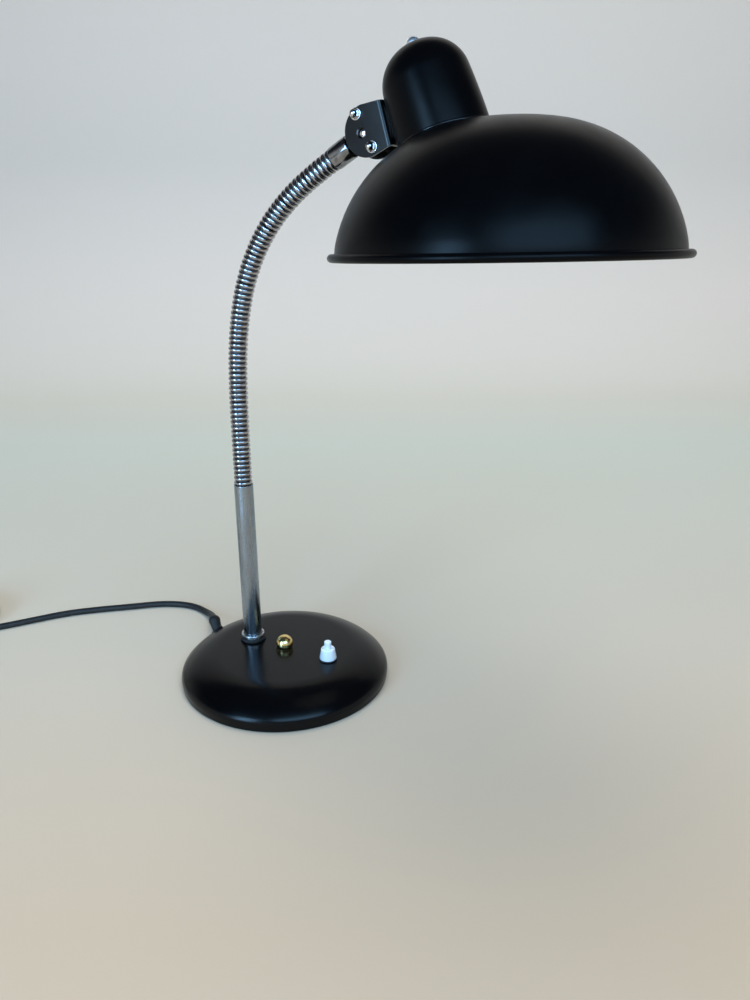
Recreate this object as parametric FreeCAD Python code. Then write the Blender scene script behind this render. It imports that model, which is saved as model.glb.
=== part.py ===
"""Gooseneck desk lamp: round weighted base, steel stem, flexible neck, ball joint and spun shade.

Millimetres, +Z up.  The origin is the centre of the base's underside, and +X points from the stem
past the centre nut to the switch, which is also the way the neck leans and the shade hangs.
"""
import FreeCAD, Part
import math
import os

Vec = FreeCAD.Vector
X, Y, Z = Vec(1, 0, 0), Vec(0, 1, 0), Vec(0, 0, 1)
ORIGIN = Vec(0, 0, 0)

# ---- fits ------------------------------------------------------------------------------------
RUNNING = 0.06          # radial clearance of parts that turn or slide
LOOSE = 0.2             # radial clearance of parts that only pass through
SEAT_GAP = 0.4          # play round a plate or disc laid in a shell

# ---- base ------------------------------------------------------------------------------------
BASE_R = 96.0
CROWN_Z = 27.5          # height of the flat top
CROWN_R = 60.0          # where the flat top starts to fall
EDGE_R = 9.0            # radius of the outer edge
EDGE_Z = 6.5            # height of the widest place
RIM_Z = 1.0             # the cover stops this far above the table
RIM_DRAFT = 0.5         # the cover draws in by this much below its widest place
COVER_WALL = 1.2
PAD_SETBACK, PAD_H = 5.0, 2.0
PLATE_H = 1.5
WEIGHT_SETBACK, WEIGHT_H, WEIGHT_CHAMFER = 12.0, 13.5, 3.0
WELL_R = 14.0           # wells in the weight for the stem's nut and the switch

# ---- centre stud and ball nut ----------------------------------------------------------------
STUD_R, STUD_HEAD_R, STUD_HEAD_H = 3.0, 7.0, 1.2
STUD_GRIP = 6.0         # length of stud inside the ball nut
NUT_BALL_R, NUT_FOOT_R, NUT_FOOT_H = 8.0, 7.2, 0.3
WEIGHT_NUT_FLATS, WEIGHT_NUT_H = 10.0, 5.0

# ---- stem ------------------------------------------------------------------------------------
STEM_X = -36.0
STEM_R, STEM_WALL = 8.5, 1.2
STEM_TOP_Z = 183.0
NIPPLE_R, NIPPLE_BORE_R = 5.0, 3.2
SPIGOT_H = 12.0         # the nipple's shoulder inside the tube
NIPPLE_DROP = 10.0      # the nipple's thread below the cover's crown
COLLAR_R, COLLAR_H = 10.75, 4.0
WASHER_R, WASHER_H = 11.75, 2.5
LOCK_NUT_FLATS, LOCK_NUT_H = 17.0, 4.0

# ---- push switch -----------------------------------------------------------------------------
SWITCH_X = 47.5
SWITCH_FOOT_R, SWITCH_TOP_R, SWITCH_H = 7.6, 6.1, 10.2
SWITCH_EDGE = 0.8
SWITCH_WASHER_R, SWITCH_WASHER_H = 8.0, 1.2
SWITCH_THREAD_R, SWITCH_THREAD_H = 5.0, 9.5
SWITCH_NUT_FLATS, SWITCH_NUT_H = 15.0, 3.0
SWITCH_BODY_R, SWITCH_BODY_H = 10.5, 8.0
BUTTON_R, BUTTON_STAND = 3.2, 6.8
BUTTON_FLANGE_R, BUTTON_FLANGE_H = 3.9, 2.0
BUTTON_TRAVEL = 3.0
BUTTON_GUIDE = 9.5     # length of the narrow bore below the housing's top
SPRING_WALL = 0.7
NOTCH_W, NOTCH_DEPTH = 1.2, 2.4

# ---- flexible neck ---------------------------------------------------------------------------
LINKS = 12
LINK_LENGTH = 25.4
RIBS_PER_LINK = 6
RIB_R, GROOVE_R = 8.1, 6.9
LINK_GAP = 1.2          # open groove between two links, centred on their pivot
LINK_BALL_R = 5.2
BALL_LOW, BALL_HIGH = -15.0, 42.0   # latitudes that bound a link's ball
SOCKET_DEPTH = 4.3
NECK_BORE_R = 2.2
NECK_SPIGOT_H = 9.0
# degrees from upright at each end of the links, as the neck stands at rest
HEADINGS = [0, 0.5, 0.5, 1.5, 3.5, 7.5, 13, 21, 30.5, 40, 49.5, 57, 60]

# ---- ferrule and ball joint ------------------------------------------------------------------
FERRULE_R, FERRULE_H = 8.5, 16.5
FERRULE_CHAMFER = 0.8
BALL_REACH = 31.5       # from the neck's end to the centre of the ball
BALL_R = 7.5
BALL_STEM_R = 4.0
STEM_BURIED = 9.0       # length of the ball's stem inside the ferrule

# ---- bracket: two cheeks that clamp the ball, folded from one plate --------------------------
CHEEK_THICK = 2.0
CHEEK_HOLE_R = 3.55
CHEEK_ARC_R = 17.5
CHEEK_ARC_AHEAD = 4.3   # the rounded end's centre, from the ball towards the dome
CHEEK_DEPTH = 21.0      # from the ball to the back of the fold
FOLD_R = 3.6
BRACKET_RISE = 15.4     # degrees, the bracket's own axis above the shade's rim plane
BOLT_R = 2.0
BOLT_SPAN = 25.3        # between the two clamp bolts
BOLT_AHEAD = 2.8        # the bolts' line, from the ball towards the dome
BOLT_RISE = 29.7        # degrees, the square to the bolts' line above the rim plane
BOLT_HEAD_R, BOLT_HEAD_H = 3.6, 2.4
CLAMP_WASHER_R, CLAMP_WASHER_H = 4.2, 0.9
ACORN_FLATS, ACORN_NUT_H, ACORN_DOME_R = 6.2, 2.6, 2.9
SADDLE_HALF_H, SADDLE_HALF_W = 11.5, 7.5
SADDLE_BITE = 14.0      # how deep the block is made before the dome's wall trims it
RIVET_R, RIVET_SPAN, RIVET_HEAD_R, RIVET_HEAD_H = 2.0, 14.0, 3.6, 1.5

# ---- shade -----------------------------------------------------------------------------------
SHADE_R, SHADE_H, SHADE_WALL = 115.5, 85.3, 0.9
SHADE_CROWN_R = 231.0   # radius of the curve over the shade's middle
SHADE_CROWN_TURN = 8.6  # degrees off level where that curve ends
SHADE_FULLNESS = 0.915  # 1 puts all the bend below it at the rim, 0 spreads it evenly
BEAD_R, BEAD_OUT = 2.8, 2.0         # rolled rim
OPENING_R = 25.0
BALL_TO_AXIS, BALL_TO_RIM = 106.5, 83.4   # the ball, back from the shade's axis and above its rim
HEAD_TILT, HEAD_TURN = -2.3, -3.5   # how the head sits at rest: nod, and turn round the stem

# ---- dome cap and lampholder -----------------------------------------------------------------
DOME_R, DOME_H, DOME_WALL = 31.8, 62.9, 1.0
DOME_CROWN_R = 49.8
DOME_TURNS = (9.8, 85.2)
DOME_BACK, DOME_UP = 46.0, 76.7     # the dome's foot, back from the shade's axis and above its rim
DOME_LEAN = -21.8
DOME_SKIRT = 14.0       # length of wall made below the foot, which the shade's surface trims
LIP_W, LIP_H = 2.6, 1.0
SCREW_HEAD_R, SCREW_HEAD_H, SCREW_R = 4.5, 2.4, 2.5
HOLDER_R, HOLDER_TOP_R, HOLDER_TOP_Z = 20.0, 9.0, 54.0
HOLDER_SHOULDER_Z, HOLDER_NECK_Z = 36.0, 46.0
SKIRT_R, SKIRT_BOTTOM_Z = 17.5, -11.0
LAMP_CAP_R, LAMP_CAP_TOP_Z = 13.2, 24.0
CARRIER_R, CARRIER_Z, CARRIER_H = 36.0, -5.0, 1.4
SHADE_RING_R, SHADE_RING_H = 23.0, 5.0
BULB_R, BULB_CENTRE_Z, BULB_WALL = 27.5, -38.0, 0.8
BULB_SHOULDER = 48.0    # latitude where the sphere runs into the neck

# ---- supply cord -----------------------------------------------------------------------------
CORD_R = 3.25
OUTLET_TURN = 170.0     # degrees round the base from +X
OUTLET_RISE = 35.0      # degrees, the hole's axis above level
OUTLET_HOLE_R = 4.6
RELIEF_TURN, RELIEF_RISE = 145.0, 38.0    # the way the rubber sleeve leans
RELIEF_LENGTH, RELIEF_FOOT_R, RELIEF_TIP_R = 12.0, 4.3, 5.75
RELIEF_FLANGE_R, RELIEF_FLANGE_H = 6.4, 1.6
NOZZLE_LENGTH, NOZZLE_R = 10.0, 4.2
CORD_ROUTE = [          # after the sleeve: down to the table, then away along it
    Vec(-123, 46, 8.0),
    Vec(-138, 55, 3.25),
    Vec(-157, 60, 3.25),
    Vec(-178, 57, 3.25),
    Vec(-199, 46, 3.25),
    Vec(-221, 27, 3.25),
    Vec(-246, 7, 3.25),
    Vec(-272, -17, 3.25),
    Vec(-293, -47, 3.25),
    Vec(-314, -76, 3.25),
    Vec(-337, -103, 4.2),
]
COIL_CENTRE_X, COIL_CENTRE_Y = -367.0, -81.5
COIL_R, COIL_BUNDLE_R = 35.5, 10.75
TIE_WALL, TIE_W, TIE_TURN = 0.8, 5.0, 120.0
TAIL_TURN, TAIL_OUT, TAIL_LENGTH = -90.0, 6.0, 42.0   # where the tail leaves, how far outside the coil's line
PLUG_LENGTH, PLUG_W, PLUG_H, PLUG_ROUND = 36.0, 26.0, 14.0, 4.0
PIN_R, PIN_LENGTH, PIN_SPACING = 2.4, 19.0, 18.6

os.makedirs("parts", exist_ok=True)


# ---- small tools -----------------------------------------------------------------------------
def save(name, shape):
    """Write one sub-part under its node's name."""
    shape.exportStep("parts/" + name + ".step")


def polar(turn, rise=0.0):
    """Unit vector, turn degrees round from +X and rise degrees above level."""
    a, b = math.radians(turn), math.radians(rise)
    return Vec(math.cos(a) * math.cos(b), math.sin(a) * math.cos(b), math.sin(b))


def turned(points):
    """Solid of revolution about Z from a closed outline of (radius, height) points."""
    wire = Part.makePolygon([Vec(r, 0, z) for r, z in points + points[:1]])
    return Part.Face(wire).revolve(ORIGIN, Z, 360)


def turned_edges(edges):
    """Solid of revolution about Z from edges in the XZ plane that close on themselves."""
    return Part.Face(Part.Wire(Part.__sortEdges__(edges))).revolve(ORIGIN, Z, 360)


def line(a, b):
    return Part.LineSegment(Vec(a[0], 0, a[1]), Vec(b[0], 0, b[1])).toShape()


def arc(a, mid, b):
    return Part.Arc(Vec(a[0], 0, a[1]), Vec(mid[0], 0, mid[1]), Vec(b[0], 0, b[1])).toShape()


def cylinder(r, h, base=ORIGIN, axis=Z):
    return Part.makeCylinder(r, h, base, axis)


def ring(outer, inner, h, base=ORIGIN, axis=Z):
    return cylinder(outer, h, base, axis).cut(cylinder(inner, h, base, axis))


def hexagon(flats, h, base=ORIGIN):
    """Hexagonal prism, its flats this far apart, standing up from base."""
    corner = flats / math.sqrt(3)
    points = [base + polar(60 * k) * corner for k in range(7)]
    return Part.Face(Part.makePolygon(points)).extrude(Z * h)


def aim(shape, base, axis):
    """Move a shape made about Z so that it stands at base along axis."""
    out = shape.copy()
    out.Placement = FreeCAD.Placement(base, FreeCAD.Rotation(Z, axis)).multiply(out.Placement)
    return out


# ---- base ------------------------------------------------------------------------------------
def cover_face(inset):
    """Half section of the space under the cover's skin, drawn inset from the outside."""
    crown_z, edge_r, side_r = CROWN_Z - inset, EDGE_R - inset, BASE_R - inset
    centre = (BASE_R - EDGE_R, EDGE_Z)
    start = (CROWN_R, crown_z)
    dr, dz = start[0] - centre[0], start[1] - centre[1]
    shoulder_r = (dr * dr + dz * dz - edge_r * edge_r) / (2 * (dz - edge_r))
    shoulder = (CROWN_R, crown_z - shoulder_r)
    slope = math.atan2(centre[1] - shoulder[1], centre[0] - shoulder[0])

    def on(middle, radius, angle):
        return middle[0] + radius * math.cos(angle), middle[1] + radius * math.sin(angle)

    join = on(shoulder, shoulder_r, slope)
    crest = on(shoulder, shoulder_r, (slope + math.pi / 2) / 2)
    side = (side_r, EDGE_Z)
    foot = (side_r - RIM_DRAFT, RIM_Z)
    return [
        line((0, RIM_Z), (0, crown_z)),
        line((0, crown_z), start),
        arc(start, crest, join),
        arc(join, on(centre, edge_r, slope / 2), side),
        line(side, foot),
        line(foot, (0, RIM_Z)),
    ]


def outlet_frame():
    """Where the cord leaves the base: a point on the cover's edge and the hole's axis."""
    axis = polar(OUTLET_TURN, OUTLET_RISE)
    middle = polar(OUTLET_TURN) * (BASE_R - EDGE_R) + Z * EDGE_Z
    return middle + axis * EDGE_R, axis


def base_cover():
    shell = turned_edges(cover_face(0)).cut(turned_edges(cover_face(COVER_WALL)))
    point, axis = outlet_frame()
    holes = [
        cylinder(STUD_R + LOOSE, CROWN_Z * 2),
        cylinder(NIPPLE_R + LOOSE, CROWN_Z * 2, X * STEM_X),
        cylinder(SWITCH_THREAD_R + LOOSE, CROWN_Z * 2, X * SWITCH_X),
        cylinder(OUTLET_HOLE_R, EDGE_R * 2, point - axis * EDGE_R, axis),
    ]
    return shell.cut(holes)


def base_weight():
    low = PAD_H + PLATE_H
    high = low + WEIGHT_H
    r = BASE_R - WEIGHT_SETBACK
    disc = turned([(0, low), (r, low), (r, high - WEIGHT_CHAMFER), (r - WEIGHT_CHAMFER, high), (0, high)])
    cord_way = Part.makeBox(r, 2 * OUTLET_HOLE_R, WEIGHT_H, Vec(0, -OUTLET_HOLE_R, low))
    cord_way.rotate(ORIGIN, Z, OUTLET_TURN)
    wells = [
        cylinder(STUD_R + LOOSE, high),
        cylinder(WELL_R, high, X * STEM_X),
        cylinder(WELL_R, high, X * SWITCH_X),
    ]
    cord_way.translate(polar(OUTLET_TURN) * -STEM_X)
    return disc.cut(wells + [cord_way])


def bottom_plate():
    r = BASE_R - RIM_DRAFT - COVER_WALL - SEAT_GAP
    return ring(r, STUD_R + LOOSE, PLATE_H, Z * PAD_H)


def base_pad():
    """Felt disc, sunk over the stud's head."""
    return cylinder(BASE_R - PAD_SETBACK, PAD_H).cut(cylinder(STUD_HEAD_R + SEAT_GAP, STUD_HEAD_H, Z * (PAD_H - STUD_HEAD_H)))




def centre_stud():
    top = CROWN_Z + STUD_GRIP
    head_z = PAD_H - STUD_HEAD_H
    return turned([(0, head_z), (STUD_HEAD_R, head_z), (STUD_HEAD_R, PAD_H), (STUD_R, PAD_H), (STUD_R, top), (0, top)])


def weight_nut():
    base = Z * (PAD_H + PLATE_H + WEIGHT_H)
    return hexagon(WEIGHT_NUT_FLATS, WEIGHT_NUT_H, base).cut(cylinder(STUD_R, CROWN_Z * 2))


def ball_nut():
    """Ball with its underside turned flat, tapped from below for the stud."""
    foot_z = CROWN_Z
    edge_z = foot_z + NUT_FOOT_H
    centre_z = edge_z + math.sqrt(NUT_BALL_R ** 2 - NUT_FOOT_R ** 2)
    top = (0, centre_z + NUT_BALL_R)
    edges = [line((0, foot_z), (NUT_FOOT_R, foot_z)), line((NUT_FOOT_R, foot_z), (NUT_FOOT_R, edge_z)),
             arc((NUT_FOOT_R, edge_z), (NUT_BALL_R, centre_z), top), line(top, (0, foot_z))]
    return turned_edges(edges).cut(cylinder(STUD_R, STUD_GRIP, Z * foot_z))


# ---- stem ------------------------------------------------------------------------------------
def stem_foot():
    """Where the tube stands: on top of the fibre washer."""
    return Vec(STEM_X, 0, CROWN_Z + WASHER_H)


def stem_tube():
    foot = stem_foot()
    return ring(STEM_R, STEM_R - STEM_WALL, STEM_TOP_Z - foot.z, foot)


def stem_collar():
    return ring(COLLAR_R, STEM_R, COLLAR_H, stem_foot())


def stem_washer():
    return ring(WASHER_R, NIPPLE_R + LOOSE, WASHER_H, Vec(STEM_X, 0, CROWN_Z))


def stem_nipple():
    """Threaded hollow foot of the stem: a shoulder inside the tube and a thread through the cover."""
    shoulder_z = stem_foot().z
    low = CROWN_Z - NIPPLE_DROP
    inner = STEM_R - STEM_WALL
    body = turned([(0, low), (NIPPLE_R, low), (NIPPLE_R, shoulder_z), (inner, shoulder_z),
                   (inner, shoulder_z + SPIGOT_H), (0, shoulder_z + SPIGOT_H)])
    body = body.cut(cylinder(NIPPLE_BORE_R, SPIGOT_H + shoulder_z))
    body.translate(X * STEM_X)
    return body


def stem_lock_nut():
    base = Vec(STEM_X, 0, CROWN_Z - COVER_WALL - LOCK_NUT_H)
    return hexagon(LOCK_NUT_FLATS, LOCK_NUT_H, base).cut(cylinder(NIPPLE_R, CROWN_Z, X * STEM_X))


# ---- push switch -----------------------------------------------------------------------------
def switch_foot_z():
    return CROWN_Z + SWITCH_WASHER_H


def switch_top():
    return switch_foot_z() + SWITCH_H


def switch_washer():
    return ring(SWITCH_WASHER_R, SWITCH_THREAD_R + LOOSE, SWITCH_WASHER_H, Vec(SWITCH_X, 0, CROWN_Z))


def switch_housing():
    low, foot, top = switch_body_top(), switch_foot_z(), switch_top()
    body = turned([(0, low), (SWITCH_THREAD_R, low), (SWITCH_THREAD_R, foot), (SWITCH_FOOT_R, foot),
                   (SWITCH_FOOT_R, foot + SWITCH_EDGE), (SWITCH_TOP_R, top - SWITCH_EDGE),
                   (SWITCH_TOP_R - SWITCH_EDGE, top), (0, top)])
    guide = cylinder(BUTTON_R + RUNNING, top)
    chamber = cylinder(BUTTON_FLANGE_R + RUNNING, top - BUTTON_GUIDE)
    notch = Part.makeBox(2 * SWITCH_TOP_R, NOTCH_W, NOTCH_DEPTH, Vec(-SWITCH_TOP_R, -NOTCH_W / 2, top - NOTCH_DEPTH))
    rim = cylinder(SWITCH_TOP_R - NOTCH_W, top)
    body = body.cut([guide, chamber, notch.common(rim)])
    body.translate(X * SWITCH_X)
    return body


def button_flange_z():
    """Top of the button's flange, which stops under the guide."""
    return switch_top() - BUTTON_GUIDE - RUNNING


def switch_button():
    top = switch_top() + BUTTON_STAND
    stop = button_flange_z()
    edge = SWITCH_EDGE
    body = turned([(0, stop - BUTTON_FLANGE_H), (BUTTON_FLANGE_R, stop - BUTTON_FLANGE_H), (BUTTON_FLANGE_R, stop),
                   (BUTTON_R, stop), (BUTTON_R, top - edge), (BUTTON_R - edge, top), (0, top)])
    body.translate(X * SWITCH_X)
    return body


def switch_body_top():
    return CROWN_Z - SWITCH_THREAD_H


def button_spring():
    low = switch_body_top()
    high = button_flange_z() - BUTTON_FLANGE_H
    return ring(BUTTON_FLANGE_R - RUNNING, BUTTON_FLANGE_R - SPRING_WALL, high - low, Vec(SWITCH_X, 0, low))


def switch_body():
    """Contact block screwed under the housing's thread."""
    return cylinder(SWITCH_BODY_R, SWITCH_BODY_H, Vec(SWITCH_X, 0, switch_body_top() - SWITCH_BODY_H))


def switch_nut():
    base = Vec(SWITCH_X, 0, CROWN_Z - COVER_WALL - SWITCH_NUT_H)
    return hexagon(SWITCH_NUT_FLATS, SWITCH_NUT_H, base).cut(cylinder(SWITCH_THREAD_R, CROWN_Z, X * SWITCH_X))


# ---- flexible neck ---------------------------------------------------------------------------
def link_start(index):
    """Place and heading of the neck's centre line where link number index starts."""
    place = Vec(STEM_X, 0, STEM_TOP_Z)
    for k in range(index):
        place = place + along_link(k, LINK_LENGTH)
    return place


def along_link(index, run):
    """Vector from the start of a link to the point run further along its arc."""
    start, end = math.radians(HEADINGS[index]), math.radians(HEADINGS[index + 1])
    turn = (end - start) * run / LINK_LENGTH
    chord = run if abs(turn) < 1e-9 else run * math.sin(turn / 2) / (turn / 2)
    return heading_vector(math.degrees(start + turn / 2)) * chord


def heading_vector(degrees):
    return Vec(math.sin(math.radians(degrees)), 0, math.cos(math.radians(degrees)))


def neck_frame(index, run):
    """Point and direction of the centre line, run millimetres into a link."""
    heading = HEADINGS[index] + (HEADINGS[index + 1] - HEADINGS[index]) * run / LINK_LENGTH
    return link_start(index) + along_link(index, run), heading_vector(heading)


def rib_stations():
    """(run, radius) pairs that draw a link's ribs between its two cut ends."""
    pitch = LINK_LENGTH / RIBS_PER_LINK
    half_gap = LINK_GAP / 2
    end_r = GROOVE_R + (RIB_R - GROOVE_R) * half_gap / (pitch / 2)
    stations = [(half_gap, end_r)]
    for rib in range(RIBS_PER_LINK):
        stations.append(((rib + 0.5) * pitch, RIB_R))
        stations.append(((rib + 1) * pitch, GROOVE_R))
    stations[-1] = (LINK_LENGTH - half_gap, end_r)
    return stations


def ribbed_body(index):
    wires = []
    for run, radius in rib_stations():
        point, direction = neck_frame(index, run)
        wires.append(Part.Wire(Part.makeCircle(radius, point, direction)))
    return Part.makeLoft(wires, True, True)


def neck_link(index):
    """One section: ribs outside, a ball at its upper end and a round socket at its lower end."""
    low, low_dir = neck_frame(index, 0)
    high, high_dir = neck_frame(index, LINK_LENGTH)
    body = ribbed_body(index)
    if index < LINKS - 1:
        ball = Part.makeSphere(LINK_BALL_R, high, high_dir, BALL_LOW, BALL_HIGH, 360)
    else:
        ball = cylinder(STEM_R - STEM_WALL, NECK_SPIGOT_H, high - high_dir * LINK_GAP, high_dir)
    body = body.fuse(ball)
    if index > 0:
        body = body.cut(cylinder(LINK_BALL_R + RUNNING, SOCKET_DEPTH, low, low_dir))
    else:
        body = body.fuse(cylinder(STEM_R - STEM_WALL, NECK_SPIGOT_H + LINK_GAP, low - Z * NECK_SPIGOT_H))
    chord = high - low
    bore = cylinder(NECK_BORE_R, 3 * chord.Length, low - chord, chord)
    return body.cut(bore)


# ---- ferrule and ball ------------------------------------------------------------------------
def neck_end():
    return neck_frame(LINKS - 1, LINK_LENGTH)


def joint_centre():
    point, direction = neck_end()
    return point + direction * BALL_REACH


def neck_ferrule():
    """Turned sleeve over the neck's end, bored for the stem of the ball."""
    inner = STEM_R - STEM_WALL
    cup = NECK_SPIGOT_H - LINK_GAP
    c = FERRULE_CHAMFER
    body = turned([(0, 0), (FERRULE_R, 0), (FERRULE_R, FERRULE_H - c), (FERRULE_R - c, FERRULE_H), (0, FERRULE_H)])
    pocket = cylinder(inner, cup)
    return aim(body.cut([pocket, cylinder(BALL_STEM_R + RUNNING, FERRULE_H)]), *neck_end())


def ball_stud():
    """Ball and stem; the buried end turns in the ferrule."""
    low = FERRULE_H - STEM_BURIED + LINK_GAP
    stem = cylinder(BALL_STEM_R, BALL_REACH - low, Z * low)
    stud = stem.fuse(Part.makeSphere(BALL_R, Z * BALL_REACH)).removeSplitter()
    return aim(stud, *neck_end())


# ---- head: made about the shade's own axis, rim plane at Z = 0, then carried to the joint ----
def ball_local():
    return Vec(-BALL_TO_AXIS, 0, BALL_TO_RIM)


def head(shape):
    """Carry a shape of the head from the shade's frame to its place on the ball."""
    centre = joint_centre()
    out = shape.copy()
    out.translate(centre - ball_local())
    out.rotate(centre, Y, HEAD_TILT)
    out.rotate(centre, neck_end()[1], HEAD_TURN)
    return out


def tilted(vector_x, vector_z, rise):
    """Local place: forward and square to a direction that rises this much, from the ball."""
    a = math.radians(rise)
    return ball_local() + Vec(math.cos(a), 0, math.sin(a)) * vector_x + Vec(-math.sin(a), 0, math.cos(a)) * vector_z


def bell(radius, height, crown_r, turns, inset):
    """Solid under three tangent arcs, level over the axis and upright at the rim.

    The middle arc's radius and the last one's follow from the overall radius and height.
    """
    sin1, cos1 = math.sin(math.radians(turns[0])), math.cos(math.radians(turns[0]))
    sin2, cos2 = math.sin(math.radians(turns[1])), math.cos(math.radians(turns[1]))
    across, down = radius - crown_r * sin1, height - crown_r * (1 - cos1)
    scale = (sin2 - sin1) * cos2 - (1 - sin2) * (cos1 - cos2)
    middle_r = (across * cos2 - down * (1 - sin2)) / scale
    side_r = (down * (sin2 - sin1) - across * (cos1 - cos2)) / scale
    crown_c = (0, height - crown_r)
    middle_c = ((crown_r - middle_r) * sin1, crown_c[1] + (crown_r - middle_r) * cos1)
    side_c = (radius - side_r, 0)
    edges, stops = [], (0,) + turns + (90,)
    for centre, r, begin, end in zip((crown_c, middle_c, side_c), (crown_r, middle_r, side_r), stops, stops[1:]):
        places = []
        for degrees in (begin, (begin + end) / 2, end):
            a = math.radians(degrees)
            places.append((centre[0] + (r - inset) * math.sin(a), centre[1] + (r - inset) * math.cos(a)))
        edges.append(arc(*places))
    top, rim = (0, height - inset), (radius - inset, 0)
    return turned_edges(edges + [line(rim, (0, 0)), line((0, 0), top)])


def shade_turns():
    """The side arc starts between the turns that would leave no middle arc and no side arc."""
    turn = math.radians(SHADE_CROWN_TURN)
    across = SHADE_R - SHADE_CROWN_R * math.sin(turn)
    down = SHADE_H - SHADE_CROWN_R * (1 - math.cos(turn))
    slope = math.degrees(math.atan2(down, across))
    return SHADE_CROWN_TURN, 2 * slope - 90 + SHADE_FULLNESS * (90 - SHADE_CROWN_TURN)


def shade_solid(inset=0.0):
    return bell(SHADE_R, SHADE_H, SHADE_CROWN_R, shade_turns(), inset)


def dome_foot():
    return Vec(-DOME_BACK, 0, DOME_UP)


def dome_axis():
    return Vec(math.sin(math.radians(DOME_LEAN)), 0, math.cos(math.radians(DOME_LEAN)))


def on_dome(shape):
    """Stand a shape made about Z on the dome's foot, along the dome's axis."""
    return aim(shape, dome_foot(), dome_axis())


def shade():
    outer = shade_solid()
    wall = outer.cut(shade_solid(SHADE_WALL))
    opening = on_dome(cylinder(OPENING_R, DOME_H, Z * -DOME_SKIRT))
    bead = Part.makeTorus(SHADE_R + BEAD_OUT, BEAD_R)
    return head(wall.cut(opening).fuse(bead))


def dome_solid(inset=0.0):
    skirt = cylinder(DOME_R - inset, DOME_SKIRT, Z * -DOME_SKIRT)
    return bell(DOME_R, DOME_H, DOME_CROWN_R, DOME_TURNS, inset).fuse(skirt).removeSplitter()


def dome_cap():
    """Spun cap with a lip that lies on the shade."""
    shell = on_dome(dome_solid())
    lip = on_dome(cylinder(DOME_R + LIP_W, DOME_H, Z * -DOME_SKIRT)).common(shade_solid(-LIP_H))
    inside = on_dome(dome_solid(DOME_WALL))
    screw_hole = on_dome(cylinder(SCREW_R + LOOSE, DOME_H, Z * DOME_H / 2))
    low = [rivet(side, RIVET_R + LOOSE) for side in (-1, 1)]
    return head(shell.fuse(lip).cut([inside, shade_solid(), screw_hole] + low))


def rivet_place(side):
    return tilted(CHEEK_DEPTH, side * RIVET_SPAN / 2, BRACKET_RISE)


def rivet(side, radius):
    """Plain shank through the fold, the saddle and the dome's wall."""
    axis = tilted(1, 0, BRACKET_RISE) - ball_local()
    return cylinder(radius, SADDLE_BITE, rivet_place(side) - axis * CHEEK_THICK, axis)


def d_outline(reach):
    """Side view of the bracket: round towards the neck, straight to the fold."""
    centre = Vec(CHEEK_ARC_AHEAD, 0, 0)
    top, bottom = centre + Z * CHEEK_ARC_R, centre - Z * CHEEK_ARC_R
    back_top, back_bottom = Vec(reach, 0, SADDLE_HALF_H + FOLD_R), Vec(reach, 0, -SADDLE_HALF_H - FOLD_R)
    edges = [
        Part.Arc(top, centre - X * CHEEK_ARC_R, bottom).toShape(),
        Part.LineSegment(bottom, back_bottom).toShape(),
        Part.LineSegment(back_bottom, back_top).toShape(),
        Part.LineSegment(back_top, top).toShape(),
    ]
    return Part.Face(Part.Wire(edges))


def cheek_inner():
    """Half the space between the cheeks: the ball just seats on the rims of their holes."""
    return math.sqrt(BALL_R ** 2 - CHEEK_HOLE_R ** 2) + RUNNING


def on_bracket(shape):
    """Carry a shape made about the ball, X towards the dome, to the head's frame."""
    out = shape.copy()
    out.rotate(ORIGIN, Y, -BRACKET_RISE)
    out.translate(ball_local())
    return out


def u_section(half, back, fold):
    """Plan view of a U, open towards the neck, with its two back corners rounded."""
    front = -2 * CHEEK_ARC_R
    box = Part.makeBox(back - front, 2 * half, 4 * CHEEK_ARC_R, Vec(front, -half, -2 * CHEEK_ARC_R))
    corners = [e for e in box.Edges if abs(e.Vertexes[0].X - back) < 1e-6 and abs(e.Vertexes[1].X - back) < 1e-6
               and abs(e.Vertexes[0].Y - e.Vertexes[1].Y) < 1e-6]
    return box.makeFillet(fold, corners)


def joint_bracket():
    outer_half = cheek_inner() + CHEEK_THICK
    slab = d_outline(CHEEK_DEPTH).extrude(Y * 2 * outer_half)
    slab.translate(Y * -outer_half)
    body = slab.common(u_section(outer_half, CHEEK_DEPTH, FOLD_R))
    body = body.cut(u_section(cheek_inner(), CHEEK_DEPTH - CHEEK_THICK, FOLD_R - CHEEK_THICK))
    body = body.cut(cylinder(CHEEK_HOLE_R, 3 * outer_half, Y * -1.5 * outer_half, Y))
    body = on_bracket(body)
    holes = [bolt_bar(side, BOLT_R + LOOSE) for side in (-1, 1)] + [rivet(side, RIVET_R) for side in (-1, 1)]
    return head(body.cut(holes))


def bolt_place(side):
    return tilted(BOLT_AHEAD, side * BOLT_SPAN / 2, BOLT_RISE)


def bolt_bar(side, radius):
    half = cheek_inner() + CHEEK_THICK + CLAMP_WASHER_H + ACORN_NUT_H
    return cylinder(radius, 2 * half, bolt_place(side) - Y * half, Y)


def clamp_bolts():
    outer = cheek_inner() + CHEEK_THICK
    bolts = []
    for side in (-1, 1):
        place = bolt_place(side)
        shank = cylinder(BOLT_R, 2 * outer + CLAMP_WASHER_H + ACORN_NUT_H, place + Y * outer, -Y)
        bolts.append(shank.fuse(cylinder(BOLT_HEAD_R, BOLT_HEAD_H, place + Y * outer, Y)).removeSplitter())
    return head(Part.makeCompound(bolts))


def clamp_washers():
    outer = cheek_inner() + CHEEK_THICK
    rings = [ring(CLAMP_WASHER_R, BOLT_R + LOOSE, CLAMP_WASHER_H, bolt_place(side) - Y * outer, -Y) for side in (-1, 1)]
    return head(Part.makeCompound(rings))


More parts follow.
